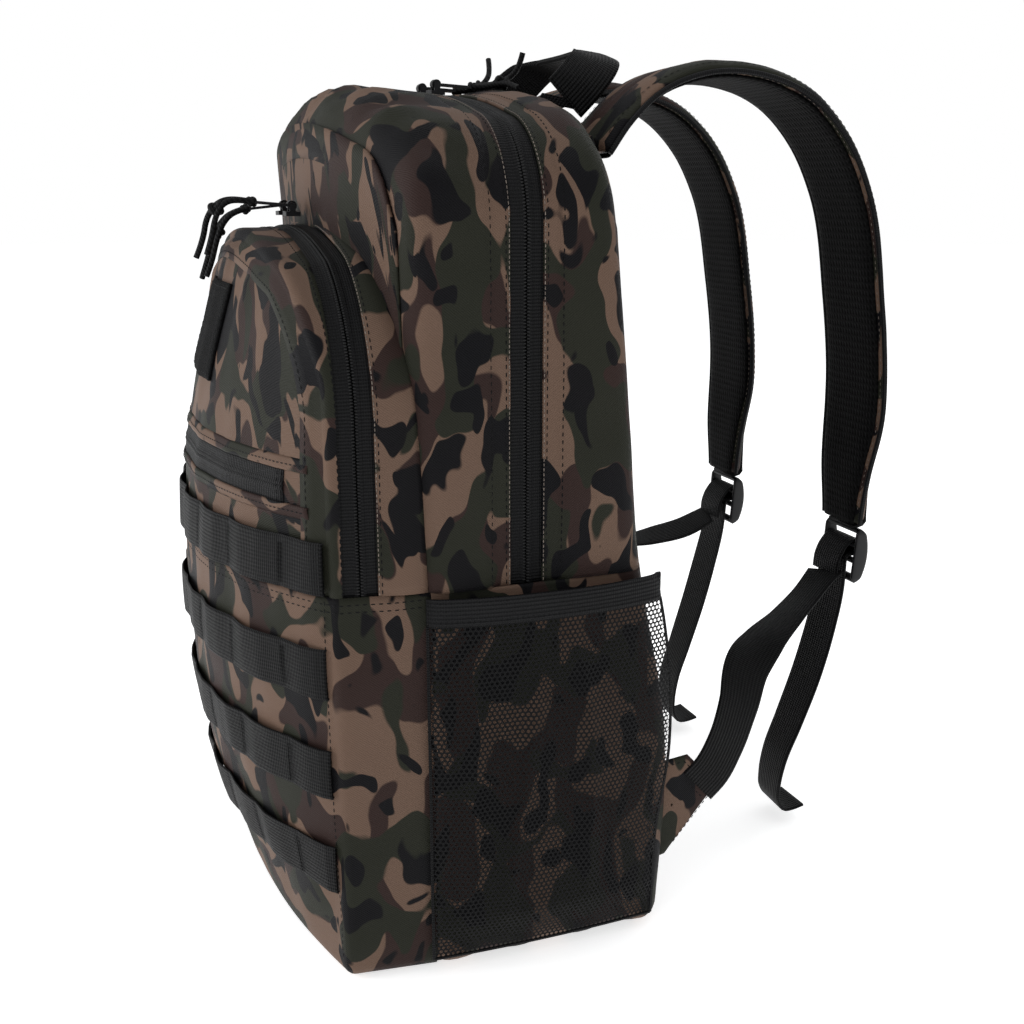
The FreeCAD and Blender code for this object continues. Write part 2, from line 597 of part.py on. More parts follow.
def pull_tab(name, label, place, angle):
    """Ring round the bar with a flat tab and a hole for the cord, turned about local X."""
    inner = size("bar_radius") + size("turn_gap")
    ring = Part.makeCylinder(inner + 1.1, 4.2, Vector(-2.1, 0, 0), Vector(1, 0, 0))
    length, width, thick = size("tab_length"), size("tab_width"), size("tab_thick")
    plate = Part.makeBox(width, length, thick, Vector(-width / 2, 0, -thick / 2))
    plate = plate.cut(Part.makeBox(width, 3.2, thick, Vector(-width / 2, -0.1, -thick / 2)))
    neck = Part.makeBox(4.2, 4.0, thick, Vector(-2.1, 0, -thick / 2))
    tab = ring.fuse(plate).fuse(neck)
    tab = tab.cut(Part.makeCylinder(inner, 10, Vector(-5, 0, 0), Vector(1, 0, 0)))
    tab = tab.cut(Part.makeCylinder(1.7, 4, Vector(0, length - 3.4, -2), Vector(0, 0, 1)))
    feature = helper(name, tab.removeSplitter())
    swing = Placement(Vector(0, 0, size("bar_height")), Rotation(Vector(1, 0, 0), angle))
    feature.Placement = place.multiply(swing)
    return node(feature, label)


def cord_tube(points, diameter):
    """Tube of straight runs joined by tangent arcs, its section a circle."""
    points = [Vector(*p) for p in points]
    edges, at = [], points[0]
    radii = []
    for before, corner, after in zip(points, points[1:], points[2:]):
        back, ahead = (before - corner), (after - corner)
        shorter = min(back.Length, ahead.Length)
        turn_half = (math.pi - back.getAngle(ahead)) / 2
        reach = 0.45 * shorter
        radius = reach / math.tan(turn_half)
        radii.append(radius)
        back.normalize()
        ahead.normalize()
        enter, leave = corner + back * reach, corner + ahead * reach
        inward = (back + ahead).normalize()
        middle = corner + inward * (radius / math.cos(turn_half) - radius)
        edges.append(line(at, enter))
        edges.append(Part.Arc(enter, middle, leave).toShape())
        at = leave
    edges.append(line(at, points[-1]))
    path = Part.Wire(edges)
    start = (points[1] - points[0]).normalize()
    ring = Part.Wire(Part.makeCircle(diameter / 2, points[0], start))
    tube = path.makePipeShell([ring], True, False)
    expected = path.Length * math.pi * diameter ** 2 / 4
    print(f"cord: length {path.Length:.1f}, radii {[round(r, 1) for r in radii]}, "
          f"volume {tube.Volume / expected:.4f} of section times length")
    return tube


# Routes of the two legs of each pull's cord, from the tab's end, as offsets from the bar:
# along +X, +Y and +Z of the pack.
PULL_CORDS = {
    "pocket_right": [
        [(1.7, -19.3, 1.7), (1.8, -27, 3.2), (2.6, -35, 1.6), (4.0, -39.5, -6), (6.2, -42, -16),
         (6.9, -45, -24)],
        [(-1.7, -19.3, 1.7), (-1.8, -28, 3.6), (-2.2, -37, 2.0), (-3.4, -43, -6), (-4.6, -45, -17),
         (-5.8, -49, -26)]],
    "pocket_left": [
        [(1.7, -19.3, -1.7), (2.0, -26.5, -3.0), (2.9, -33, -9), (4.4, -37, -18.5),
         (7.2, -40, -28.5), (8.2, -43.5, -36)],
        [(-1.7, -19.3, -1.7), (-1.9, -27.5, -3.4), (-2.5, -34.5, -10), (-4.3, -38.5, -20),
         (-6.0, -41.5, -30), (-9.0, -44, -38)]],
    "main_right": [
        [(1.7, 19.3, -0.8), (2.0, 26, -0.9), (3.3, 33, 0.8), (7.0, 38, 1.0), (12.5, 40, -0.8),
         (19, 39.5, -2.0)],
        [(-1.7, 19.3, -0.8), (-1.6, 27, 0.2), (-2.2, 35, 1.6), (-1.0, 42, 4.6), (2.4, 46, 10),
         (3.4, 47.5, 17)]],
    "main_left": [
        [(1.7, 19.3, -0.8), (1.9, 26, -0.4), (1.2, 33, 1.6), (-0.8, 38, 5.6), (-4.6, 41, 10.4),
         (-8.4, 41.5, 17)],
        [(-1.7, 19.3, -0.8), (-1.9, 26, -0.6), (-4.6, 32.5, -0.2), (-9.0, 37, -0.4),
         (-15, 38.5, -1.4), (-21, 36.5, -2.6)]],
}


def arch_point(radius, top, x):
    """Height and outward direction on an arch of that radius whose top is over x = 0."""
    centre = top - radius
    height = centre + math.sqrt(radius ** 2 - x ** 2)
    return height, Vector(x, 0, height - centre).normalize()


def zip_pull(kind, side_name, x, zip_y, radius, top, tab_angle):
    """Slider, tab and the cord's two legs at x on an arched zip."""
    height, out = arch_point(radius, top, x)
    name = f"{kind}_{side_name}"
    travel = Vector(0, 1, 0).cross(out)
    place = local_frame(Vector(x, zip_y, height), travel, out)
    slider(f"Slider_{name}", f"slider_{name}", place)
    pull_tab(f"Tab_{name}", f"pull_tab_{name}", place, tab_angle)
    bar = Vector(x, zip_y, height) + out * size("bar_height")
    for leg, route in zip("ab", PULL_CORDS[name]):
        points = [tuple(bar + Vector(*offset)) for offset in route]
        tube = cord_tube(points, size("cord_diameter"))
        node(helper(f"Cord_{name}_{leg}", tube), f"pull_cord_{name}_{leg}")


zip_pull("main", "right", 13, ZIP_Y, size("top_radius"), TOP, -3)
zip_pull("main", "left", -13, ZIP_Y, size("top_radius"), TOP, -3)
zip_pull("pocket", "right", 11, POCKET_ZIP_Y, size("pocket_radius"), POCKET_TOP, 175)
zip_pull("pocket", "left", -11, POCKET_ZIP_Y, size("pocket_radius"), POCKET_TOP, 186)

# The small pocket's slider, on the curved face near the far end of its zip.
def face_y(x, z):
    """y of the pocket's face, between the sections above and below z."""
    for (low, low_y), (high, high_y) in zip(POCKET_SECTIONS, POCKET_SECTIONS[1:]):
        if low <= z <= high:
            middle = low_y + (high_y - low_y) * (z - low) / (high - low)
    edge, half_face = size("pocket_edge_y"), POCKET_HALF
    sagitta = edge - middle
    radius = (half_face ** 2 + sagitta ** 2) / (2 * sagitta)
    return middle + radius - math.sqrt(radius ** 2 - x ** 2), radius


small_x = 18 - size("small_zip_half")
small_z = size("small_zip_low") + size("small_zip_band") / 2
small_y, face_radius = face_y(small_x, small_z)
print("small zip arc radius", round(face_radius, 2), "y at slider", round(small_y, 2))
out = Vector(small_x, -math.sqrt(face_radius ** 2 - small_x ** 2), 0).normalize()
place = local_frame(Vector(small_x, small_y, small_z) + out * 2.2, Vector(0, 0, 1).cross(out), out)
slider("Slider_small", "slider_small", place)
pull_tab("Tab_small", "pull_tab_small", place, 172)

# ---------------------------------------------------------------- check and write
doc.recompute()
faults = [o.Name for o in doc.Objects if "Invalid" in o.State or "Error" in o.State]
for obj in nodes:
    shape = obj.Shape
    if shape.isNull() or not shape.isValid() or not shape.Solids:
        faults.append(obj.Label)
if faults:
    raise RuntimeError("failed objects: " + ", ".join(faults))
os.makedirs("parts", exist_ok=True)
for obj in nodes:
    obj.Shape.exportStep(f"parts/{obj.Label}.step")
print(len(nodes), "nodes written")
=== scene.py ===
import math

import bmesh
import bpy
import numpy as np
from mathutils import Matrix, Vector, noise


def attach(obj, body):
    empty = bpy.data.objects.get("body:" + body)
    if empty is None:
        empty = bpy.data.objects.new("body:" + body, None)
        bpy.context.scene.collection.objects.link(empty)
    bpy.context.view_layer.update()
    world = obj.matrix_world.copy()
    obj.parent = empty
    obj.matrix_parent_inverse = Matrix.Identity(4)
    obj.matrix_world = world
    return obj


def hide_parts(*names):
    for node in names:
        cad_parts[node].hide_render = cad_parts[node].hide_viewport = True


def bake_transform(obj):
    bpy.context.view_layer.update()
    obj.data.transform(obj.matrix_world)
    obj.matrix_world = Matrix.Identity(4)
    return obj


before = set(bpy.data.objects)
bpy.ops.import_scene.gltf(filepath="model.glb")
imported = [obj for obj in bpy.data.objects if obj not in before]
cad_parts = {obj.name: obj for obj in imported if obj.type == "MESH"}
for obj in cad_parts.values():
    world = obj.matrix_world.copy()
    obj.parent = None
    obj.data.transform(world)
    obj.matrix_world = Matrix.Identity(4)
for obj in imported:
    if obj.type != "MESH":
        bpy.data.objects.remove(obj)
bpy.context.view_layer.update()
MM = 0.001
SIDES = (("right", 1), ("left", -1))

# ---------------------------------------------------------------- sizes, in millimetres
HALF, TOP, HINGE = 148.0, 427.0, 200.0
ZIP_Y, POCKET_ZIP_Y, TAPE = 10.0, -68.0, 8.0
POCKET_TOP, POCKET_HALF, POCKET_EDGE_Y = 366.0, 140.0, -80.0
MAIN_RADIUS, POCKET_RADIUS = 407, 343
WEBBING, WEB_THICK, ROW_PITCH = 25.4, 1.8, 50.8
INSIDE, IN_POCKET, IN_BACK = (0.0, 10.0, 190.0), (0, -40, 200), (0, 0, 200)
SIDE_CLOTH, PANEL_CLOTH, FACE_CLOTH = 1.6, 1.4, 1.3  # thicknesses with lining


# ---------------------------------------------------------------- small maths
def smooth_curve(xs, ys, x):
    """Smooth curve through the points (xs, ys), read at x."""
    xs, ys, x = np.asarray(xs, float), np.asarray(ys, float), np.asarray(x, float)
    slope = np.gradient(ys, xs)
    i = np.clip(np.searchsorted(xs, x) - 1, 0, len(xs) - 2)
    h = xs[i + 1] - xs[i]
    t = np.clip((x - xs[i]) / h, 0, 1)
    return ((2 * t**3 - 3 * t**2 + 1) * ys[i] + (t**3 - 2 * t**2 + t) * h * slope[i]
            + (3 * t**2 - 2 * t**3) * ys[i + 1] + (t**3 - t**2) * h * slope[i + 1])


def ease(a, b, x):
    t = np.clip((np.asarray(x, float) - a) / (b - a), 0, 1)
    return t * t * (3 - 2 * t)


def bump(x, centre, width):
    return np.exp(-((np.asarray(x, float) - centre) / width) ** 2)


def unit(v):
    v = np.asarray(v, float)
    return v / np.maximum(np.linalg.norm(v, axis=-1, keepdims=True), 1e-9)


def tangents(path):
    return unit(np.gradient(path, axis=0))


def square_to(wide, tangent):
    """wide, made square to the tangent at each point."""
    return unit(wide - tangent * (wide * tangent).sum(1)[:, None])


def lengths(points):
    return np.concatenate([[0], np.cumsum(np.linalg.norm(np.diff(points, axis=0), axis=1))])


def along(at, run, values):
    """The columns of values, known at run, read at one or more places."""
    return np.stack([np.interp(at, run, column) for column in values.T], -1)


def resample(points, step=None, count=None):
    """Evenly spaced points along a polyline."""
    points = np.asarray(points, float)
    run = lengths(points)
    count = count or max(3, int(round(run[-1] / step)) + 1)
    return along(np.linspace(0, run[-1], count), run, points)


def curve_through(points, step):
    """Smooth curve through points, evenly resampled."""
    points = np.asarray(points, float)
    run = lengths(points[:, :3])
    fine = np.linspace(0, run[-1], 400)
    dense = np.stack([smooth_curve(run, column, fine) for column in points.T], 1)
    length = lengths(dense[:, :3])
    count = max(3, int(round(length[-1] / step)) + 1)
    return along(np.linspace(0, length[-1], count), length, dense)


def rough(P, scale, seed):
    """Smooth noise from -1 to 1 at each point of a grid."""
    flat = P.reshape(-1, 3) / scale + np.array([seed * 7.3, seed * 3.1, seed * 5.7])
    return np.array([noise.noise(Vector(p)) for p in flat]).reshape(P.shape[:-1])


def rough_at(X, Z, scale, seed):
    return rough(np.stack([X, 0 * X, Z], -1), scale, seed)


def normals_of(P):
    return unit(np.cross(np.gradient(P, axis=0), np.gradient(P, axis=1)))


def outward(P, away=INSIDE):
    """Normals of a grid, turned away from a point."""
    N = normals_of(P)
    return N * np.sign((N * (P - np.array(away))).sum())


# ---------------------------------------------------------------- materials
class Mat:
    """Node material with short helpers."""

    def __init__(self, name, roughness, specular, **fixed):
        self.m = bpy.data.materials.new(name)
        self.m.use_nodes = True
        self.nodes, self.links = self.m.node_tree.nodes, self.m.node_tree.links
        self.shader = self.nodes["Principled BSDF"].inputs
        self.shader["Roughness"].default_value = roughness
        self.shader["Specular IOR Level"].default_value = specular
        for key, value in fixed.items():
            self.shader[key.replace("_", " ")].default_value = value

    def feed(self, place, value):
        if hasattr(value, "is_output"):
            self.links.new(value, place)
        elif value is not None:
            place.default_value = value

    def node(self, kind, **inputs):
        made = self.nodes.new(kind)
        for key, value in inputs.items():
            name = key.replace("_", " ")
            place = next((s for s in made.inputs if s.name == name and s.enabled), None)
            if place:
                self.feed(place, value)
            else:
                setattr(made, key, value)
        return made

    def uv(self):
        return self.node("ShaderNodeUVMap").outputs[0]

    def object_place(self):
        return self.node("ShaderNodeTexCoord").outputs["Object"]

    def place(self, vector, scale=(1, 1, 1), shift=(0, 0, 0), turn=0.0):
        return self.node("ShaderNodeMapping", Vector=vector, Scale=scale, Location=shift,
                         Rotation=(0, 0, turn)).outputs[0]

    def noise(self, vector, scale, detail, roughness, output="Fac"):
        return self.node("ShaderNodeTexNoise", Vector=vector, Scale=scale, Detail=detail,
                         Roughness=roughness).outputs[output]

    def wave(self, vector, scale, turn=0.0):
        """Ridges across the vector's first axis turned by some degrees, scale to a metre."""
        turned = self.place(vector, turn=math.radians(turn))
        return self.node("ShaderNodeTexWave", Vector=turned, Scale=scale * math.pi / 10).outputs[1]

    def math(self, kind, *values):
        n = self.nodes.new("ShaderNodeMath")
        n.operation = kind
        for place, value in zip(n.inputs, values):
            self.feed(place, value)
        return n.outputs[0]

    def add_times(self, a, b, c):
        return self.math("MULTIPLY_ADD", a, b, c)

    def mix(self, share, a, b):
        n = self.nodes.new("ShaderNodeMix")
        n.data_type = "RGBA"
        for place, value in zip((n.inputs[0], n.inputs[6], n.inputs[7]), (share, a, b)):
            self.feed(place, (*value, 1) if isinstance(value, tuple) else value)
        return n.outputs[2]

    def ramp(self, value, low, high):
        n = self.nodes.new("ShaderNodeMapRange")
        for place, given in zip(n.inputs, (value, low, high)):
            self.feed(place, given)
        return n.outputs[0]

    def finish(self, colour, roughness, relief, strength, distance):
        """Links the colour, the roughness as (value, spread, least), and the relief."""
        self.feed(self.shader["Base Color"], colour)
        self.feed(self.shader["Roughness"], self.add_times(*roughness))
        relief_node = self.node("ShaderNodeBump", Height=relief, Strength=strength,
                                Distance=distance)
        self.feed(self.shader["Normal"], relief_node.outputs[0])
        return self.m


TAN, BROWN = (0.134, 0.084, 0.060), (0.0280, 0.0155, 0.0135)
OLIVE, NAVY = (0.0165, 0.0180, 0.0120), (0.0022, 0.0025, 0.0038)
FADED = (0.33, 0.26, 0.22)
BLOB_EDGE = 0.008


def lighter(base, times, plus=0.0):
    return tuple(times * c + plus for c in base)


def camo_material(name, shift):
    """Woodland print on coated twill."""
    m = Mat(name, 0.55, 0.09, Sheen_Weight=0.01, Sheen_Roughness=0.4)
    uv = m.uv()
    base = m.place(uv, scale=(1.0, 1.45, 1), shift=shift)
    warps = [m.noise(base, scale, 0.0, 0.5, "Color") for scale in (30, 74)]

    def blobs(scale, where, big, small, low):
        moved = base
        for warp, reach in zip(warps, (big, small)):
            n = m.nodes.new("ShaderNodeVectorMath")
            n.operation = "MULTIPLY_ADD"
            for place, value in zip(n.inputs, (warp, (reach, reach, 0), moved)):
                m.feed(place, value)
            moved = n.outputs[0]
        n = m.noise(m.place(moved, shift=where), scale, 0.0, 0.4)
        return m.ramp(n, low - BLOB_EDGE, low + BLOB_EDGE)

    brown = blobs(27, (3.1, 1.7, 0), 0.030, 0.0085, 0.525)
    olive = blobs(30, (7.9, 5.2, 0), 0.032, 0.0090, 0.550)
    navy = blobs(36, (1.3, 9.6, 0), 0.034, 0.0100, 0.640)
    navy_thin = blobs(52, (5.3, 2.6, 0), 0.034, 0.0100, 0.655)
    colour = m.mix(brown, TAN, BROWN)
    colour = m.mix(olive, colour, OLIVE)
    colour = m.mix(m.math("MAXIMUM", navy, navy_thin), colour, NAVY)
    weave = m.add_times(m.wave(uv, 1500, -60), 0.35, m.wave(uv, 1050, 38))
    thread = m.noise(m.place(uv, scale=(1, 3, 1)), 1400, 1, 0.5)
    fade = m.noise(uv, 9, 3, 0.6)
    shade = m.math("ADD", m.math("MULTIPLY", m.ramp(weave, -0.9, 1.35), 0.26),
                   m.math("MULTIPLY", m.ramp(thread, 0.2, 0.8), 0.08))
    share = m.math("MULTIPLY", shade, m.ramp(fade, 0.1, 0.7))
    colour = m.mix(share, colour, m.mix(0.05, colour, FADED))
    return m.finish(colour, (fade, 0.16, 0.46), weave, 0.35, 0.00035)


def webbing_material(name, base):
    """Ribbed polyester webbing: ribs along it, picks across it."""
    m = Mat(name, 0.55, 0.14)
    uv = m.uv()
    weave = m.add_times(m.wave(uv, 780), 0.6, m.wave(uv, 520, 90))
    fuzz, worn = m.noise(uv, 900, 2, 0.6), m.noise(uv, 26, 3, 0.6)
    light = m.mix(m.ramp(worn, 0.3, 0.75), lighter(base, 1.9), lighter(base, 2.9))
    share = m.ramp(m.math("ADD", weave, m.math("MULTIPLY", fuzz, 0.5)), 0.3, 2.0)
    return m.finish(m.mix(share, base, light), (fuzz, 0.25, 0.42), weave, 0.8, 0.0005)


def tape_material(name):
    """Zip tape: fine cross ribs."""
    m = Mat(name, 0.6, 0.14)
    uv = m.uv()
    weave = m.add_times(m.wave(uv, 900, 90), 0.4, m.wave(uv, 640))
    colour = m.mix(m.ramp(weave, 0.2, 1.4), (0.0024, 0.0024, 0.0027), (0.0075, 0.0075, 0.0082))
    return m.finish(colour, (m.noise(uv, 700, 2, 0.6), 0.25, 0.45), weave, 0.7, 0.0004)


def air_mesh_material(name):
    """Spacer mesh: rows of small dark dimples."""
    m = Mat(name, 0.8, 0.06)
    uv = m.uv()
    cells = m.node("ShaderNodeTexVoronoi", Vector=m.place(uv, scale=(1, 1.5, 1)), Scale=260,
                   Randomness=0.12)
    hole = m.ramp(cells.outputs["Distance"], 0.16, 0.42)
    fuzz = m.noise(uv, 1500, 2, 0.6)
    colour = m.mix(hole, (0.0006, 0.0006, 0.0007), (0.0034, 0.0033, 0.0034))
    return m.finish(colour, (fuzz, 0.3, 0.55), m.add_times(fuzz, 0.15, hole), 0.8, 0.0012)


def yarn_material(name, base, scale=1300.0, roughness=0.6):
    m = Mat(name, roughness, 0.12)
    uv = m.uv()
    strands, fuzz = m.wave(uv, scale, 35), m.noise(uv, scale * 0.8, 2, 0.6)
    colour = m.mix(m.ramp(strands, 0.0, 1.0), base, lighter(base, 2.2, 0.0012))
    return m.finish(colour, (fuzz, 0.25, roughness - 0.12), m.add_times(fuzz, 0.4, strands), 0.6,
                    0.0003)


def braid_material(name):
    """Paracord: crossing strands round the cord."""
    m = Mat(name, 0.6, 0.15)
    where = m.object_place()
    strands = m.node("ShaderNodeTexWave", Vector=where, Scale=240, bands_direction="DIAGONAL",
                     Distortion=2.0).outputs[1]
    fuzz = m.noise(where, 1600, 2, 0.6)
    colour = m.mix(strands, (0.0016, 0.0016, 0.0018), (0.0075, 0.0075, 0.008))
    return m.finish(colour, (fuzz, 0.25, 0.45), m.add_times(fuzz, 0.3, strands), 0.6, 0.0005)


def hard_material(name, base, roughness, metallic=0.0, grain=900.0):
    m = Mat(name, roughness, 0.3, Metallic=metallic)
    where = m.object_place()
    fine, wide = m.noise(where, grain, 3, 0.6), m.noise(where, 60, 2, 0.5)
    colour = m.mix(m.ramp(wide, 0.25, 0.75), base, lighter(base, 1.7, 0.001))
    return m.finish(colour, (wide, 0.2, roughness - 0.08), fine, 0.25, 0.0002)


def lining_material(name):
    m = Mat(name, 0.7, 0.2, Sheen_Weight=0.05)
    uv = m.uv()
    weave = m.math("MULTIPLY", m.wave(uv, 900), m.wave(uv, 900, 90))
    worn = m.noise(uv, 14, 3, 0.6)
    colour = m.mix(m.ramp(worn, 0.2, 0.8), (0.008, 0.0082, 0.009), (0.017, 0.0175, 0.019))
    return m.finish(colour, (worn, 0.2, 0.55), weave, 0.5, 0.0003)


def pile_material(name):
    """Soft loop fabric for patches."""
    m = Mat(name, 0.9, 0.06, Sheen_Weight=0.02)
    uv = m.uv()
    loops, patchy = m.noise(uv, 900, 3, 0.7), m.noise(uv, 60, 3, 0.6)
    colour = m.mix(m.ramp(loops, 0.3, 0.75), (0.0012, 0.0012, 0.0014), (0.0075, 0.0075, 0.008))
    return m.finish(colour, (patchy, 0.15, 0.75), loops, 1.0, 0.0012)


BLACK_YARN = (0.0022, 0.0022, 0.0025)
CAMO = camo_material("camo_twill", (0.0, 0.0, 0.0))
CAMO_STRAP = camo_material("camo_strap_twill", (0.37, 0.61, 0.0))
LINING = lining_material("lining_cloth")
WEB = webbing_material("webbing_weave", (0.0021, 0.0021, 0.0023))
TAPE_MAT = tape_material("zip_tape_weave")
ELASTIC = webbing_material("elastic_binding", (0.0042, 0.0042, 0.0046))
AIR_MESH = air_mesh_material("spacer_mesh")
NET = yarn_material("net_yarn", BLACK_YARN)
THREAD = yarn_material("stitch_thread", BLACK_YARN)
PALE_THREAD = yarn_material("pale_stitch_thread", (0.12, 0.10, 0.085))
CORD = braid_material("cord_braid")
METAL = hard_material("black_zip_metal", (0.010, 0.010, 0.011), 0.32, 0.6)
PLASTIC = hard_material("moulded_plastic", (0.0055, 0.0055, 0.006), 0.42)
PILE = pile_material("loop_pile")
COIL = hard_material("zip_coil_nylon", (0.003, 0.003, 0.0033), 0.4)
FOAM = yarn_material("foam_cells", (0.03, 0.03, 0.032), 600.0, 0.8)
LINED = [CAMO, LINING]
PANEL = [0]


# ---------------------------------------------------------------- mesh building
def build(name, verts, faces, mats, uvs):
    """Mesh object from millimetres, with one UV per vertex."""
    me = bpy.data.meshes.new(name)
    faces = [list(map(int, f)) for f in faces]
    me.from_pydata((np.asarray(verts, float) * MM).tolist(), [], faces)
    layer = me.uv_layers.new(name="UVMap")
    loops = np.empty(len(me.loops), dtype=np.int64)
    me.loops.foreach_get("vertex_index", loops)
    uv = (np.asarray(uvs, float)[loops] * MM).astype(np.float32)
    layer.data.foreach_set("uv", uv.ravel())
    for m in mats if isinstance(mats, list) else [mats]:
        me.materials.append(m)
    me.polygons.foreach_set("use_smooth", [True] * len(me.polygons))
    me.update()
    obj = bpy.data.objects.new(name, me)
    bpy.context.scene.collection.objects.link(obj)
    return obj


def join_parts(parts):
    """Several (verts, faces, uvs) as one."""
    verts, faces, uvs, base = [], [], [], 0
    for v, f, uv in parts:
        verts.append(v)
        uvs.append(uv)
        faces += [[i + base for i in face] for face in f]
        base += len(v)
    return np.concatenate(verts), faces, np.concatenate(uvs)


def grid_parts(P, wrap=False, away=INSIDE, shift=None):
    """Vertices, faces and UVs of a grid of points, facing away from the point away."""
    P = np.asarray(P, float)
    if wrap:
        P = np.concatenate([P, P[:, :1]], axis=1)
    n, m = P.shape[:2]
    steps = [np.cumsum(np.linalg.norm(np.diff(P, axis=k), axis=2), k) for k in (0, 1)]
    u = np.concatenate([np.zeros((1, m)), steps[0]])
    v = np.concatenate([np.zeros((n, 1)), steps[1]], 1)
    u = np.broadcast_to(u.mean(axis=1, keepdims=True), (n, m))
    if shift is None:
        PANEL[0] += 1
        shift = (211.0 * PANEL[0], 137.0 * PANEL[0])
    uv = np.stack([u + shift[0], v + shift[1]], -1).reshape(-1, 2)
    idx = np.arange(n * m).reshape(n, m)
    faces = np.stack([idx[:-1, :-1], idx[1:, :-1], idx[1:, 1:], idx[:-1, 1:]], -1).reshape(-1, 4)
    if away is not None and (normals_of(P) * (P - np.asarray(away, float))).sum() < 0:
        faces = faces[:, ::-1]
    return P.reshape(-1, 3), faces.tolist(), uv


def grid(name, P, mats, wrap=False, away=INSIDE, thick=0.0, cap=False):
    v, f, uv = grid_parts(P, wrap, away)
    if cap:
        n, m = P.shape[0], P.shape[1] + (1 if wrap else 0)
        f += [list(range(m - 1))[::-1], [(n - 1) * m + k for k in range(m - 1)]]
    obj = build(name, v, f, mats, uv)
    if thick:
        thicken(obj, thick, 1 if isinstance(mats, list) else 0)
    return obj


def thicken(obj, thick, inner=0):
    s = obj.modifiers.new("thickness", "SOLIDIFY")
    s.thickness = thick * MM
    s.offset = -1
    s.use_even_offset = False
    s.material_offset = inner


def done(obj, body=None, replaces=None, blend=None, slot=None):
    """Makes the piece ride on its body, or bakes its transform in place when blend is given, and
    hides the CAD part it replaces; slot is not used.
    """
    if blend:
        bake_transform(obj)
    else:
        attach(obj, body)
    if replaces:
        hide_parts(replaces)
    return obj


def section(half_width, half_thick, across=6):
    """Closed rounded-flat section in (width, thickness) coordinates."""
    edge = min(half_thick, half_width)
    xs = np.linspace(-half_width + edge, half_width - edge, across)
    arc = np.radians(np.linspace(-90, 90, 5)[1:-1])
    right = [(half_width - edge + edge * math.cos(a), half_thick * math.sin(a)) for a in arc]
    left = [(-x, -y) for x, y in right]
    bottom = [(x, -half_thick) for x in xs]
    top = [(x, half_thick) for x in xs[::-1]]
    return np.array(bottom + right + top + left)


def swept(path, wide, thick_dir, s):
    """Rows of a section s carried along path."""
    return np.array([p + s[:, :1] * w + s[:, 1:] * t for p, w, t in zip(path, wide, thick_dir)])


def strip(name, path, wide, half_width, thick, mats, thick_dir=None, across=6, caps=True):
    """A webbing strip: rounded-flat section swept along path. wide is a direction, or one per
    point, and thick_dir is square to it unless given."""
    wide = np.broadcast_to(np.asarray(wide, float), path.shape)
    thick_dir = np.cross(tangents(path), wide) if thick_dir is None else thick_dir
    rows = swept(path, unit(wide), unit(thick_dir), section(half_width, thick / 2, across))
    return fix_normals(grid(name, rows, mats, wrap=True, away=None, cap=caps))


def fix_normals(obj):
    bm = bmesh.new()
    bm.from_mesh(obj.data)
    bmesh.ops.recalc_face_normals(bm, faces=bm.faces)
    bm.to_mesh(obj.data)
    bm.free()
    return obj


def copies(faces, count, size):
    """The faces of one little shape, repeated for count of them with size vertices each."""
    return [[i + k * size for i in face] for k in range(count) for face in faces]


STITCH = np.array([(-1, 0, 0), (-0.55, -1, 0.55), (-0.55, 1, 0.55), (0.55, -1, 0.55),
                   (0.55, 1, 0.55), (1, 0, 0), (-0.5, 0, 1), (0.5, 0, 1)])
STITCH_FACES = ((0, 1, 6), (0, 6, 2), (1, 3, 7, 6), (2, 6, 7, 4), (3, 5, 7), (4, 7, 5))


def stitch_points(path, normal, pitch=3.6, long=2.5, wide=0.55, high=0.35, sink=0.12):
    """Little raised stitches along a path."""
    path = np.asarray(path, float)
    normal = np.broadcast_to(np.asarray(normal, float), path.shape)
    run = lengths(path)
    starts = (np.arange(int(run[-1] // pitch)) + 0.5) * pitch
    p, n = along(starts, run, path), unit(along(starts, run, normal))
    t = unit(along(starts + 0.5, run, path) - p)
    side = unit(np.cross(n, t))
    a, b, c = (STITCH[None, :, k, None] for k in range(3))
    p, n, t, side = (v[:, None] for v in (p, n, t, side))
    return (p + t * a * long / 2 + side * b * wide / 2 + n * (c * high - sink)).reshape(-1, 3)


def stitches(name, rows, body=None, slot="camo_fabric", blend=None, mat=THREAD, **how):
    """Stitches along each (path, normal) of rows."""
    verts = np.concatenate([stitch_points(path, normal, **how) for path, normal in rows])
    faces = copies(STITCH_FACES, len(verts) // len(STITCH), len(STITCH))
    obj = build(name, verts, faces, mat, verts[:, :2] + verts[:, 2:])
    return done(obj, body, None, blend, slot)


# ---------------------------------------------------------------- shapes of the pack
MAIN_Z = (0, 110, 200, 300, 400, 440)
FRONT_SIDE, FRONT_MID = (-40, -40, -40, -44, -46, -46), (-44, -48, -52, -56, -62, -63)
BACK_SIDE, BACK_MID = (88, 90, 73, 63, 53, 49), (93, 98, 84, 75, 66, 62)
POCKET_Z = (0, 55, 112, 160, 206, 244, 287, 333, 375)
POCKET_MID = (-103, -119, -128, -131, -129.5, -126, -118, -104, -90)


def plan_arc(x, half, side, mid):
    """y on the arc through (-half, side), (0, mid) and (half, side)."""
    x = np.asarray(x, float)
    rise = np.abs(mid - side) + 1e-6
    r = (half**2 + rise**2) / (2 * rise)
    drop = r - np.sqrt(np.maximum(r**2 - np.minimum(np.abs(x), half) ** 2, 0))
    return mid + np.sign(side - mid) * drop


def front_y(x, z):
    return plan_arc(x, HALF, smooth_curve(MAIN_Z, FRONT_SIDE, z), smooth_curve(MAIN_Z, FRONT_MID, z))


def back_y(x, z):
    return plan_arc(x, HALF, smooth_curve(MAIN_Z, BACK_SIDE, z), smooth_curve(MAIN_Z, BACK_MID, z))


def face_y(x, z):
    return plan_arc(x, POCKET_HALF, POCKET_EDGE_Y, smooth_curve(POCKET_Z, POCKET_MID, z))


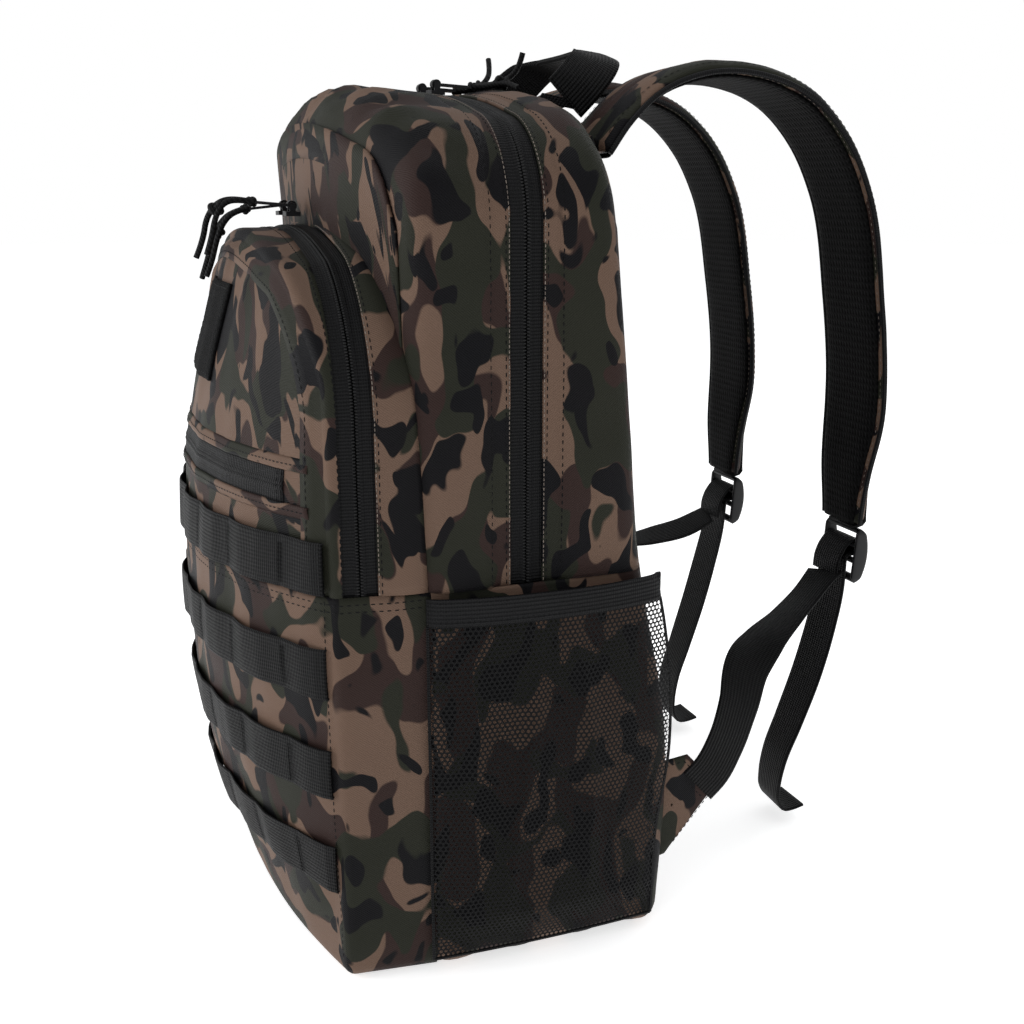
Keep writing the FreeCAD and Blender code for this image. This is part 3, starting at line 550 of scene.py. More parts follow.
def on_face(X, Z, out):
    """Points out from the pocket's face."""
    return np.stack([X, face_y(X, Z) - out, Z], -1)


def on_back(X, Z, out):
    """Points out from the back panel."""
    return np.stack([X, back_y(X, Z) + out, Z], -1)


def mesh_of(x_range, z_range, indexing="ij"):
    """Grids of x and z over a rectangle, each range as (low, high, count)."""
    return np.meshgrid(np.linspace(*x_range), np.linspace(*z_range), indexing=indexing)


def arc3(a, b, c, count):
    """Points on the arc from a through b to c."""
    (ax, ay), (bx, by), (cx, cy) = a, b, c
    d = 2 * (ax * (by - cy) + bx * (cy - ay) + cx * (ay - by))
    aa, bb, cc = ax**2 + ay**2, bx**2 + by**2, cx**2 + cy**2
    ux = (aa * (by - cy) + bb * (cy - ay) + cc * (ay - by)) / d
    uy = (aa * (cx - bx) + bb * (ax - cx) + cc * (bx - ax)) / d
    start, end = math.atan2(ay - uy, ax - ux), math.atan2(cy - uy, cx - ux)
    r = math.hypot(ax - ux, ay - uy)
    return [(ux + r * math.cos(t), uy + r * math.sin(t)) for t in np.linspace(start, end, count)]


def arch(half, spring, corner, shoulder, radius, top, foot, step=4.0):
    """Arch outline from the right foot over the top to the left foot, and its outward
    normal. foot is the radius of the turn into the base."""
    pts = [(half - foot + foot * math.sin(t), foot - foot * math.cos(t))
           for t in np.linspace(0, math.pi / 2, 6)[:-1]]
    pts += [(half, z) for z in np.linspace(foot, spring, 60)]
    z_shoulder = top - radius + math.sqrt(radius**2 - shoulder**2)
    pts += arc3((half, spring), corner, (shoulder, z_shoulder), 30)[1:]
    end = math.asin(shoulder / radius)
    pts += [(radius * math.sin(t), top - radius + radius * math.cos(t))
            for t in np.linspace(end, 0, 30)[1:]]
    pts = resample(pts + [(-x, z) for x, z in pts[-2::-1]], step=1.0)
    t = tangents(pts)
    kernel = np.hanning(15)
    padded = np.pad(np.stack([t[:, 1], -t[:, 0]], 1), ((7, 7), (0, 0)), mode="edge")
    n = unit(np.stack([np.convolve(column, kernel, "valid") for column in padded.T], 1))
    keep = np.unique(np.round(np.linspace(0, len(pts) - 1, int(len(pts) / step))).astype(int))
    return pts[keep], n[keep]


MAIN_ARCH = arch(HALF, 363.5, (136, 395.5), 104, MAIN_RADIUS, TOP, 12)
POCKET_ARCH = arch(HALF - 2, 282, (131, 324), 97, POCKET_RADIUS, POCKET_TOP, 8)


def read_arch(outline, where):
    return tuple(along(where, np.arange(len(a)), a) for a in outline)


def upper(outline):
    """The part of an arch above the hinge, ending exactly on it."""
    z = outline[0][:, 1]
    half = len(z) // 2
    at = [np.interp(HINGE, z[:half], np.arange(half)),
          len(z) - 1 - np.interp(HINGE, z[::-1][:half], np.arange(half))]
    inner = np.arange(math.ceil(at[0] + 0.3), math.floor(at[1] - 0.3) + 1)
    return read_arch(outline, np.concatenate([[at[0]], inner, [at[1]]]))


def lower(outline, side):
    """One side of an arch below the hinge, from the base up."""
    outline = [a[::side] for a in outline]
    half = len(outline[0]) // 2
    at = np.interp(HINGE, outline[0][:half, 1], np.arange(half))
    return read_arch(outline, np.concatenate([np.arange(0, math.floor(at - 0.3) + 1), [at]]))


def across(pts, n, way, start, count, over=(4, 9)):
    """Rows of (inset, y) from y=start to the front (way -1) or back (way 1), round the edge
    and on to the panel."""
    least, most, y_of, level = (11, 12, front_y, 403) if way < 0 else (10, 10, back_y, 405)
    r = (least + most * ease(0.2, 1.0, n[:, 1].clip(0, 1)))[:, None]
    edge = y_of(pts[:, 0], np.minimum(pts[:, 1], level))[:, None]
    y1 = start + (edge - way * r - start) * np.linspace(0, 1, count)[None, :]
    phi = np.linspace(0, math.pi / 2, 8)[None, 1:]
    on = np.array(over, float)[None, :]
    return (np.concatenate([0 * y1, r * (1 - np.cos(phi)), r + on], 1),
            np.concatenate([y1, edge - way * r + way * r * np.sin(phi), edge + 0 * on], 1))


def skin(pts, n, inset, y, lift=0):
    """Grid of points on the compartment at an inset and a y, lifted along the outline."""
    d = -inset + lift
    return np.stack([pts[:, :1] + n[:, :1] * d, y + 0 * d, pts[:, 1:] + n[:, 1:] * d], -1)


def creases(P):
    """Soft folds of stuffed cloth."""
    top = ease(250, 420, P[..., 2])
    soft = 1.9 * rough(P, 52, 1) + 1.2 * rough(P, 24, 2)
    front = bump(P[..., 1], -42, 26) * ease(300, 405, P[..., 2])
    q = P.copy()
    q[..., 2] += 0.5 * q[..., 1]
    q[..., 1] *= 0.28
    return soft * (0.55 + 0.45 * top) + 3.2 * front * rough(q, 15, 3)


def lip(y, at, high, wide):
    return high * bump(y, at, wide)


# ---------------------------------------------------------------- main compartment
def make_half(name, body, way, replaces):
    """The cloth from the main zip to the front or back edge."""
    pts, n = upper(MAIN_ARCH)
    start = ZIP_Y + way * TAPE
    inset, y = across(pts, n, way, start, 14 if way < 0 else 16)
    base = skin(pts, n, inset, y)
    belly = 2.6 * np.sin(np.pi * np.clip((y - start) / (y[:, -1:] - start), 0, 1)) ** 0.9
    calm = ease(0, 12, np.abs(y - start))
    low = ease(0, 26, pts[:, 1])[:, None]
    share = inset / (inset[:, -1:] + 1e-6)
    lift = (belly + creases(base)) * calm * low
    lift = lift - 0.9 * bump(y, start + way * 8.0, 0.9)
    lift = lift * (1 - 0.9 * ease(0, 1, share) ** 3)
    lift = lift + lip(y, start + way * 0.9, 0.55, 1.1)
    P = base.copy()
    P[..., 0] += n[:, :1] * lift
    P[..., 2] += n[:, 1:] * lift
    P[..., 1] += way * ease(0.5, 1, share) * 0.6 * rough(base, 30, 9)
    done(grid(name, P, LINED, thick=SIDE_CLOTH), body, replaces)
    return P


front_band = make_half("flap_skin", "main_flap", -1, "flap_shell")
rear_band = make_half("main_skin", "root", 1, "main_shell")

# lower side panels, one piece each from the front corner round to the back panel
for side_name, side in SIDES:
    pts, n = lower(MAIN_ARCH, side)
    halves = (across(pts, n, -1, 20.0, 12, (5,)), across(pts, n, 1, 20.0, 12))
    inset, y = (np.concatenate([f[:, ::-1], b[:, 1:]], 1) for f, b in zip(*halves))
    base = skin(pts, n, inset, y)
    low = ease(0, 22, pts[:, 1])[:, None]
    belly = 3.0 * np.sin(np.pi * np.clip((y + 40) / 125, 0, 1))
    gather = 1.6 * bump(pts[:, 1], 10, 18)[:, None] * np.sin(y / 5.5) * ease(-42, -20, y) * 0.6
    lift = (belly + creases(base)) * low * (1 - 0.8 * ease(0, 8, inset))
    lift = lift * (1 - 0.45 * ease(186, 200, base[..., 2])) + gather
    P = base + np.stack([n[:, :1] * lift, 0 * lift, n[:, 1:] * lift], -1)
    done(grid(f"side_panel_{side_name}", P, LINED, thick=SIDE_CLOTH), "root")


def top_at(outline, x, inset):
    """Height of an arch, inset by a margin, at each x."""
    pts, n = outline
    p = pts - n * inset
    p = p[np.argsort(p[:, 0])]
    p = p[p[:, 1] > 150]
    return np.interp(x, p[:, 0], p[:, 1])


def rows_to(x, high, count):
    """Grids of x and z from the hinge up to a height at each x."""
    Z = np.linspace(0, 1, count)[:, None] * (high - HINGE)[None, :] + HINGE
    return np.broadcast_to(x, Z.shape), Z


for name, body, margin, half, y_of, lift, facing in (
        ("flap_front_panel", "main_flap", 15, HALF - 11, front_y, 1.2, -1),
        ("back_panel_upper", "root", 14, HALF - 10, back_y, 1.0, 1)):
    x = np.linspace(-half, half, 56)
    X, Z = rows_to(x, top_at(MAIN_ARCH, x, margin), 40)
    P = np.stack([X, y_of(X, np.minimum(Z, 404)) - facing * 0.6, Z], -1)
    P[..., 1] += facing * lift * (0.6 + rough(P, 45, 12)) * ease(0, 25, half - np.abs(X))
    done(grid(name, P, LINED, thick=PANEL_CLOTH), body)
X, Z = mesh_of((-HALF + 10, HALF - 10, 56), (6, HINGE, 36), "xy")
P = on_back(X, Z, 0.8 * rough_at(X, Z, 45, 15) - 0.6)
done(grid("back_panel_lower", P, LINED, thick=PANEL_CLOTH), "root")
X, Z = mesh_of((-HALF + 8, HALF - 8, 48), (5, HINGE - 1, 30), "xy")
P = np.stack([X, front_y(X, Z) + 0.6, Z], -1)
done(grid("inner_divider", P, [LINING, LINING], thick=1.2), "root")
# base of the main compartment; the pocket's base is part of the pocket's wrap below
X, Y = mesh_of((-HALF + 11, HALF - 11, 48), (0, 1, 30), "xy")
low_y, high_y = front_y(X, 0 * X) - 6, back_y(X, 0 * X) - 8
P = np.stack([X, low_y + (high_y - low_y) * Y, 0.35 + 0.0 * X], -1)
P[..., 2] += (1.2 * ease(4, 20, (HALF - 11 - np.abs(X))) * ease(0.02, 0.2, Y)
              * ease(0.0, 0.15, 1 - Y))
done(grid("base_panel", P, LINED, thick=PANEL_CLOTH), "root")

# ---------------------------------------------------------------- zips
TAPE_OFF = np.array([0.12, 0.7, 1.3, 1.9, 2.5, 3.1, 3.9, 5.2, 6.6, 7.9, 9.6])
TAPE_DEEP = np.array([1.15, 0.75, 0.45, 0.35, 0.45, 0.85, 1.0, 0.95, 0.95, 1.05, 1.5])
COIL_PITCH = 1.5
TOOTH = np.array([(-0.45, 0.15, -0.75), (0.45, 0.15, -0.75), (-0.45, 1.7, -0.75),
                  (0.45, 1.7, -0.75), (-0.2, 0.3, -0.1), (0.2, 0.3, -0.1), (-0.2, 1.5, -0.05),
                  (0.2, 1.5, -0.05)])
TOOTH_FACES = ((4, 5, 7, 6), (0, 1, 5, 4), (3, 2, 6, 7), (1, 3, 7, 5), (2, 0, 4, 6))


def slope(y):
    """How far the pocket's side stands in from its widest line, at y."""
    return 6.0 * np.clip((-30.0 - y) / 50.0, 0, 1)


def zip_half(name, body, outline, at, way, replaces, inset_at=None):
    """Half a zip along an arch: the tape from the centre line outward, with the coil's fine
    bumps beside the centre."""
    inset_at = inset_at or (lambda y: 0 * y)
    fine = resample(np.concatenate(upper(outline), 1), step=2.2)
    pts, n = fine[:, :2], unit(fine[:, 2:])
    y = at + way * TAPE_OFF[None, :] + 0 * pts[:, :1]
    P = skin(pts, n, TAPE_DEEP[None, :] + inset_at(y), y)
    done(grid(name, P, TAPE_MAT, thick=0.8), body, replaces)
    run = lengths(pts)
    count = int(run[-1] / COIL_PITCH)
    s = (np.arange(count) + 0.5 + (0.0 if way > 0 else 0.5)) * COIL_PITCH
    p, q = along(s, run, pts)[:, None], unit(along(s, run, n))[:, None]
    t = np.stack([q[..., 1], -q[..., 0]], -1)
    du, dy, dn = (TOOTH[None, :, k, None] for k in range(3))
    r = p + t * du + q * (dn - inset_at(at))
    verts = np.concatenate([r[..., :1], at + way * dy + 0 * p[..., :1], r[..., 1:]], -1)
    verts = verts.reshape(-1, 3)
    faces = copies(TOOTH_FACES, count, len(TOOTH))
    done(fix_normals(build(name + "_coil", verts, faces, COIL, verts[:, :2])), body)


zip_half("main_zip_tape_front", "main_flap", MAIN_ARCH, ZIP_Y, -1, "main_zip_front")
zip_half("main_zip_tape_rear", "root", MAIN_ARCH, ZIP_Y, 1, "main_zip_rear")


def column_at(P, y):
    """A line along the grid at a given y, with normals."""
    line, normal = [], []
    for row, rn in zip(P, outward(P)):
        order = np.argsort(row[:14, 1])
        line.append(along(y, row[:14, 1][order], row[:14][order]))
        normal.append(along(y, row[:14, 1][order], rn[:14][order]))
    return np.array(line), unit(np.array(normal))


# short pale stitches drawn as a fine pale line along the cloth's edge beside each zip
PALE_EDGE_LINE = {"mat": PALE_THREAD, "pitch": 2.3, "long": 2.0, "wide": 0.42, "high": 0.3}


def edge_stitching(label, band, body, at, way, drops):
    """Rows of stitching beside a zip, and a fine line of short pale stitches along the cloth's edge
    next to it.
    """
    stitches(f"{label}_stitching", [column_at(band, at + way * d) for d in drops], body)
    stitches(f"{label}_worn_edge", [column_at(band, at + way * 0.5)], body, **PALE_EDGE_LINE)


edge_stitching("flap", front_band, "main_flap", ZIP_Y - TAPE, -1, (1.9, 9.4))
edge_stitching("main", rear_band, "root", ZIP_Y + TAPE, 1, (1.9, 9.4))

# ---------------------------------------------------------------- front pocket
FACE_BLEND = ("main_flap", "pocket_flap", (0, -131, 200), (0, -131, 240))
BASE_BLEND = ("root", "main_flap", (0, -131, 176), (0, -131, 200))
RIM_ROUND = 5.0

# rear gusset, from the main compartment to the zip
pts, n = upper(POCKET_ARCH)
t = np.linspace(0, 1, 9)[None, :]
gusset_end = POCKET_ZIP_Y + TAPE
y = (front_y(pts[:, 0], pts[:, 1]) + 3)[:, None] * (1 - t) + gusset_end * t
lift = 1.4 * np.sin(np.pi * t) + 0.8 * rough(skin(pts, n, slope(y), y), 26, 21)
lift = lift * ease(0, 3, np.abs(y - POCKET_ZIP_Y - TAPE)) + lip(y, gusset_end + 0.9, 0.5, 1.0)
gusset = skin(pts, n, slope(y), y, lift)
done(grid("pocket_gusset_skin", gusset, LINED, thick=SIDE_CLOTH), "main_flap", "pocket_gusset")
edge_stitching("gusset", gusset, "main_flap", gusset_end, 1, (1.8,))
zip_half("pocket_zip_tape_rear", "main_flap", POCKET_ARCH, POCKET_ZIP_Y, 1, "pocket_zip_rear",
         slope)
zip_half("pocket_zip_tape_front", "pocket_flap", POCKET_ARCH, POCKET_ZIP_Y, -1,
         "pocket_zip_front", slope)


def rim_grid(pts, n, start):
    """The face's rim: strip beside the zip, round the edge and on to the face."""
    x_edge = pts[:, 0] * POCKET_HALF / (HALF - 2)
    edge = face_y(x_edge, np.clip(pts[:, 1] - 6, 0, 400))[:, None]
    y1 = start + (np.minimum(edge + RIM_ROUND, start - 0.5) - start) * np.linspace(0, 1, 5)[None, :]
    phi = np.linspace(0, math.pi / 2, 7)[None, 1:]
    y2 = y1[:, -1:] - RIM_ROUND * np.sin(phi)
    inset1 = slope(y1)
    inset2 = inset1[:, -1:] + RIM_ROUND * (1 - np.cos(phi))
    on = np.array((3.0, 7.0, 10.0))[None, :]
    inset = np.concatenate([inset1, inset2, inset2[:, -1:] + on], 1)
    P = skin(pts, n, inset, np.concatenate([y1, y2, y2[:, -1:] + 0 * on], 1))
    flat = P[:, -on.size:]
    flat[..., 1] = np.minimum(face_y(flat[..., 0], flat[..., 2]) - 0.8, y2[:, -1:] + 2)
    return P


rim = rim_grid(pts, n, POCKET_ZIP_Y - TAPE)
rim[..., 1] += 0.4 * rough(rim, 22, 31)
done(grid("pocket_rim", rim, LINED, thick=FACE_CLOTH), None, "pocket_face", FACE_BLEND)


def face_lift(X, Z):
    """Stuffed-cloth relief of the pocket's face, outward."""
    Q = np.stack([X, 0 * X, Z], -1)
    pleats = [2.6 * bump(X, way * (58 + (Z - 330) * 0.25), 6) * ease(296, 345, Z)
              for way in (1, -1)]
    q = Q * (1, 1, 0.45)
    return 1.2 * rough(Q, 46, 41) + 1.15 * rough(q, 18, 42) + (pleats[0] + pleats[1])


x = np.linspace(-POCKET_HALF + 8, POCKET_HALF - 8, 64)
high = top_at(POCKET_ARCH, x, 6 + 5 + 6)
X, Z = rows_to(x, high, 60)
calm = ease(0, 18, POCKET_HALF - np.abs(X)) * ease(0, 10, high - Z)
done(grid("pocket_face_skin", on_face(X, Z, face_lift(X, Z) * calm), LINED, thick=FACE_CLOTH),
     None, None, FACE_BLEND)

# lower pocket: sides, face and base in one wrap
quarter = np.linspace(0, math.pi / 2, 6)
zs = np.concatenate([8 - 8 * np.cos(quarter)[:-1], np.linspace(8, HINGE, 56)])
turn = np.concatenate([8 - 8 * np.sin(quarter)[:-1], np.zeros(56)])
rows = []
for z, tin in zip(zs, turn):
    rear = float(front_y(HALF, z)) + 4
    sides = [(HALF - 2 - slope(y), y) for y in np.linspace(rear, POCKET_EDGE_Y + 5, 14)]
    corner = [(POCKET_HALF + 0.6 - 5 + 5 * math.cos(a), POCKET_EDGE_Y + 5 - 5 * math.sin(a) * 1.3)
              for a in np.linspace(0.2, math.pi / 2 - 0.25, 5)]
    fx = np.linspace(POCKET_HALF - 5, 0, 40)
    half_path = np.array(sides + corner + list(zip(fx, face_y(fx, z))))
    path = resample(np.concatenate([half_path, half_path[-2::-1] * (-1, 1)]), count=150)
    tangent = tangents(path)
    normal = np.stack([-tangent[:, 1], tangent[:, 0]], 1)
    normal *= np.sign((normal * (path - (0, -60))).sum(1))[:, None]
    rows.append(np.concatenate([path - normal * tin, np.full((len(path), 1), z), normal], 1))
rows = np.array(rows)
base_P, out2 = rows[..., :3], rows[..., 3:5]
X, Z = base_P[..., 0], base_P[..., 2]
side_part = ease(132, 142, np.abs(X))
side_lift = (1.2 * rough(base_P * (1, 1, 0.5), 17, 51) + 1.0) * ease(2, 20, Z)
lift = face_lift(X, Z) * ease(4, 24, Z) * (1 - side_part) + side_part * side_lift
lift *= ease(0, 6, HINGE + 1 - Z) * 0.7 + 0.3
lower_P = base_P.copy()
lower_P[..., :2] += out2 * lift[..., None]
low_row = lower_P[0]
inner = [np.stack([low_row[:, 0], low_row[:, 1] * (1 - s) + -42 * s, 0 * low_row[:, 0] + 0.3], 1)
         for s in np.linspace(0, 1, 8)[:0:-1]]
done(grid("pocket_wrap", np.concatenate([np.array(inner), lower_P], 0), LINED, thick=FACE_CLOTH,
          away=(0, -60, 60)), None, "pocket_base", BASE_BLEND)

# ---------------------------------------------------------------- trim on the pocket
ROW_HALF = 137.0
TACKS = np.arange(-114, 115, 38.0)
ROW_ACROSS = np.array([0, 0.35, 1.2, 4.2, 8.4, 12.7, 17, 21.2, 24.2, 25.05, 25.4])
ROW_ROUND = np.array([-0.75, -0.25, 0, 0.1, 0.15, 0.2, 0.15, 0.1, 0, -0.25, -0.75])
OUT_OF_FACE = (0, -1, 0)
for k in range(4):
    low = 200.2 + (k - 3) * ROW_PITCH
    x = np.linspace(-ROW_HALF, ROW_HALF, 221)
    X, A = np.meshgrid(x, ROW_ACROSS, indexing="ij")
    Z = low + A + 0.5 * rough_at(X, 0 * A + low, 60, 61 + k)
    gap = np.min(np.abs(x[:, None] - TACKS[None, :]), axis=1)
    rise = 2.2 + 1.5 * ease(1.5, 15, gap) * ease(0, 4, ROW_HALF - np.abs(x)) - 0.5 * bump(gap, 0, 1.6)
    relief = face_lift(X, Z) * ease(0, 18, POCKET_HALF - np.abs(X)) * 0.9
    P = on_face(X, Z, rise[:, None] + ROW_ROUND[None, :] + relief)
    where = {"body": "root"} if k < 3 else {"blend": FACE_BLEND}
    done(grid(f"molle_webbing_{k + 1}", P, WEB, away=IN_POCKET, thick=1.5),
         replaces=f"molle_row_{k + 1}", **where)
    zz = np.linspace(low + 1.8, low + 23.6, 12)
    rows = []
    for xx in (np.full(12, tack + dx) for tack in TACKS for dx in (-0.8, 0.8)):
        rows.append((on_face(xx, zz, face_lift(xx, zz) * 0.9 + 2.2), OUT_OF_FACE))
    stitches(f"molle_tacks_{k + 1}", rows, slot="black_webbing", pitch=2.0, long=1.7, wide=0.7,
             sink=0.05, **where)

# patch of loop fabric
X, Z = mesh_of((-33, 33, 30), (286, 334, 24))
edge = np.minimum(33 - np.abs(X), 24 - np.abs(Z - 310))
high = 1.5 + 0.9 * ease(0, 2.2, edge) + face_lift(X, Z) - 0.5 * bump(edge, 2.4, 0.8)
done(grid("patch_field_pile", on_face(X, Z, high), PILE, away=IN_POCKET, thick=1.4),
     "pocket_flap", "loop_patch")


def box_line(x_low, x_high, z_low, z_high, step):
    corners = [(x_low, z_low), (x_high, z_low), (x_high, z_high), (x_low, z_high), (x_low, z_low)]
    return resample(corners, step=step).T


X, Z = box_line(-30.4, 30.4, 288.6, 331.4, 2)
stitches("patch_stitching", [(on_face(X, Z, 2.2 + face_lift(X, Z)), OUT_OF_FACE)],
         "pocket_flap", "loop_fabric")

# small zip across the face
SMALL_LOW, SMALL_HIGH, SMALL_HALF = 240.0, 257.0, 115.0
SMALL_ACROSS = (0, 2.2, 4.6, 6.2, 7.0, 7.5, 8.1, 8.5, 8.9, 9.5, 10.0, 10.8, 12.4, 14.8, 17)
SMALL_HIGHS = np.array([0.2, 0.55, 0.6, 0.75, 1.1, 1.2, 1.05, 0.65, 1.05, 1.2, 1.1, 0.75, 0.6,
                        0.55, 0.2])
FOLD = ((-0.9, 0.5), (-0.5, 1.2), (0.3, 1.55), (1.6, 1.35), (4.5, 0.8), (5.5, 0.1))


def face_row(xx, zz, lift):
    """A line on the face's relief."""
    return on_face(xx, zz, face_lift(xx, zz) + lift)


X, A = np.meshgrid(np.linspace(-SMALL_HALF, SMALL_HALF, 120), SMALL_ACROSS, indexing="ij")
P = face_row(X, SMALL_LOW + A, SMALL_HIGHS[None, :])
done(grid("small_zip_tape", P, TAPE_MAT, away=IN_POCKET, thick=0.8), "pocket_flap", "small_zip")
rows, folds = [], []
xx = np.linspace(-SMALL_HALF - 15, SMALL_HALF + 15, 90)
for z, way in ((SMALL_LOW, -1), (SMALL_HIGH, 1)):
    folds.append(np.stack([face_row(xx, z + way * out + 0 * xx, lift) for out, lift in FOLD], 1))
    rows.append((face_row(xx, z + way * 2.2 + 0 * xx, 1.35), OUT_OF_FACE))
verts, faces, uv = join_parts([grid_parts(f, away=IN_POCKET) for f in folds])
obj = build("small_zip_folds", verts, faces, CAMO, uv)
thicken(obj, 0.5)
done(obj, "pocket_flap")
zz = np.linspace(SMALL_LOW + 0.5, SMALL_HIGH - 0.5, 14)
for x_end in (-SMALL_HALF + 1, -SMALL_HALF + 4, SMALL_HALF - 1, SMALL_HALF - 4):
    rows.append((face_row(x_end + 0 * zz, zz, 1.1), OUT_OF_FACE))
stitches("small_zip_stitching", rows, "pocket_flap", pitch=3.0, long=2.1)
# flat bag behind the small zip
X, Z = mesh_of((-112, 112, 40), (206, 262, 20))
P = on_face(X, Z, -2.6 - 0.3 * rough(np.stack([X, X, Z], -1), 30, 5))
done(grid("small_bag_cloth", P, LINING, away=IN_POCKET, thick=0.5), "pocket_flap",
     "small_pocket_bag")

# stitching on the rim of the pocket's face, and the double seam across its hinge line
N = outward(rim, IN_POCKET)
rows = [(rim[:, c] + 0.1 * N[:, c], N[:, c]) for c in (1, rim.shape[1] - 2)]
stitches("pocket_rim_stitching", rows, blend=FACE_BLEND)
N = outward(lower_P, (0, -60, 60))
seams = [np.argmin(np.abs(zs - (HINGE - drop))) for drop in (2.0, 7.0)]
stitches("pocket_seam_stitching", [(lower_P[k], N[k]) for k in seams], blend=BASE_BLEND)
c = np.argmin(np.abs(lower_P[20, :70, 1] + 82))
rows = [(lower_P[6:, k], N[6:, k]) for k in (c, 149 - c)]
stitches("pocket_edge_stitching", rows, blend=BASE_BLEND)

# ---------------------------------------------------------------- side mesh pockets
MESH_TOP, RIM_TALL, NET_FOOT, MESH_FRONT = 198.0, 13.0, 9.0, -38.5
NET_CELL, NET_HOLE = 2.5, 0.62
RIM_SECTION = ((-0.2, 0.15), (0.0, 0.75), (1.0, 0.95), (4.2, 0.85), (6.5, 0.95), (9.5, 0.85),
               (12.0, 0.95), (12.9, 0.7), (13.3, 0.1), (13.0, -0.6), (8.0, -0.8), (0.3, -0.8))
NET_FOLDS = ((2.4, 0.36, 0.0009, 0.035), (1.9, 0.63, -0.0006, 0.04), (1.3, 0.16, 0.0004, 0.03))


def mesh_back(z):
    return smooth_curve((0, 60, 100, 135, 170, 200), (80.5, 82.5, 88.5, 88.0, 83.5, 77.0), z)


def side_belly(y):
    return np.sin(np.pi * np.clip((y + 40) / 125, 0, 1))


def net_point(y, z, side, extra=0.0):
    """Points on the net, which stands off the side panel in soft folds."""
    t = (y - MESH_FRONT) / (mesh_back(z) - MESH_FRONT)
    round_up = np.clip(np.sin(np.pi * np.clip(t, 0, 1)), 0, 1) ** 0.42
    folds = sum(high * bump(t, at + lean * (z - 100), wide) for high, at, lean, wide in NET_FOLDS)
    stand = 0.7 + 7.8 * round_up * ease(6, 34, z) + folds * ease(200, 120, z) * ease(20, 60, z)
    wobble = 0.7 * rough(np.stack([y, z, 0 * y], -1), 34, 71)
    d = stand + wobble * ease(6, 20, z) + extra
    return np.stack([side * (HALF + 2.0 * side_belly(y) + d), y, z], -1)


def hex_net():
    """A flat hexagon net over the pocket: one ring of faces to a cell."""
    tall, r = NET_CELL * math.sqrt(3) / 2, NET_CELL / math.sqrt(3)
    angles = np.radians(np.arange(30, 390, 60))
    cell = np.stack([np.cos(angles), np.sin(angles)], 1) * r
    cell = np.concatenate([cell, cell * NET_HOLE])
    ring = [(q, (q + 1) % 6, 6 + (q + 1) % 6, 6 + q) for q in range(6)]
    centres = []
    for i in range(int((MESH_TOP - 3 - NET_FOOT) / tall)):
        z = NET_FOOT + (i + 0.5) * tall
        k = np.arange(int((float(mesh_back(z)) - MESH_FRONT) / NET_CELL))
        y = MESH_FRONT + (k + (0.25 if i % 2 else 0.75)) * NET_CELL
        centres.append(np.stack([y, np.full(len(k), z)], 1))
    centres = np.concatenate(centres)
    return (centres[:, None] + cell[None]).reshape(-1, 2), copies(ring, len(centres), 12)


for side_name, side in SIDES:
    flat, faces = hex_net()
    v = net_point(flat[:, 0], np.clip(flat[:, 1], NET_FOOT - 1, MESH_TOP - 3), side)
    net = build(f"side_net_{side_name}", v, faces, NET, flat)
    done(net, "root", f"side_mesh_{side_name}")
    # elastic rim: a folded binding along the top
    z_low = MESH_TOP - RIM_TALL
    y = (MESH_FRONT - 0.8
         + np.linspace(0, 1, 60) * (mesh_back(MESH_TOP - 6) - MESH_FRONT + 2.0))
    cols = []
    for dz, out in RIM_SECTION:
        z = np.full(60, z_low + dz)
        over = z - np.minimum(z, MESH_TOP)
        cols.append(net_point(y, z - over, side, out) + np.stack([0 * z, 0 * z, over], -1))
    obj = grid(f"rim_binding_{side_name}", np.stack(cols, 1), ELASTIC, wrap=True, away=None,
               cap=True)
    done(fix_normals(obj), "root", f"elastic_rim_{side_name}")
    rows = [(net_point(y, np.full(60, z_low + dz), side, 0.95), (side, 0, 0))
            for dz in (1.7, 11.2)]
    stitches(f"rim_stitching_{side_name}", rows, "root", "elastic", pitch=2.6, long=1.8)
    # narrow binding down the net's edges and along its base
    foot = NET_FOOT - 0.6
    up = np.linspace(foot, z_low, 60)
    for part, y, z in (("front", np.full(60, MESH_FRONT - 0.4), up), ("rear", mesh_back(up), up),
                       ("base", np.linspace(MESH_FRONT, 80.5, 60), np.full(60, foot))):
        centre = net_point(y, z, side, 0.1)
        tangent = tangents(centre)
        wide = unit(np.cross(tangent, (float(side), 0, 0)))
        done(strip(f"net_binding_{part}_{side_name}", centre, wide, 0.8, 0.8, ELASTIC,
                   np.cross(wide, tangent)), "root")

# ---------------------------------------------------------------- back pad and foam
PAD_LOW, PAD_HIGH, PAD_HALF = 28.0, 372.0, 122.0
X, Z = mesh_of((-PAD_HALF, PAD_HALF, 90), (PAD_LOW, PAD_HIGH, 120))
crown = ease(0, 14, np.minimum(PAD_HALF - np.abs(X), np.minimum(Z - PAD_LOW, PAD_HIGH - Z)))
channels = bump(X, 0, 7.0) + 0.9 * bump(np.abs(X), 62, 4.0) * ease(60, 90, Z)
for z_seam in (120, 204, 288):
    channels = channels + 0.85 * bump(Z, z_seam, 4.0) * (np.abs(X) > 8)
height = 1.2 + 5.4 * crown * (1 - 0.75 * np.clip(channels, 0, 1)) + 0.3 * rough_at(X, Z, 30, 81)
pad = grid("back_pad_cushion", on_back(X, Z, height), AIR_MESH, away=IN_BACK, thick=2.0)
done(pad, "root", "back_pad")
X, Z = box_line(-PAD_HALF * 0.99, PAD_HALF * 0.99, PAD_LOW, PAD_HIGH, 3)
centre = on_back(X, Z, 1.3)
wide = unit(np.cross(tangents(centre), (0, 1, 0)))
done(strip("back_pad_binding", centre, wide, 4.0, 1.6, ELASTIC, np.cross(wide, tangents(centre)),
           caps=False), "root")
X, Z = mesh_of((-PAD_HALF, PAD_HALF, 40), (24, 380, 60))
P = on_back(X, Z, 0.2 * rough_at(X, Z, 20, 82) - 4.6)
foam = grid("back_foam_sheet", P, FOAM, away=IN_BACK, thick=1.6)
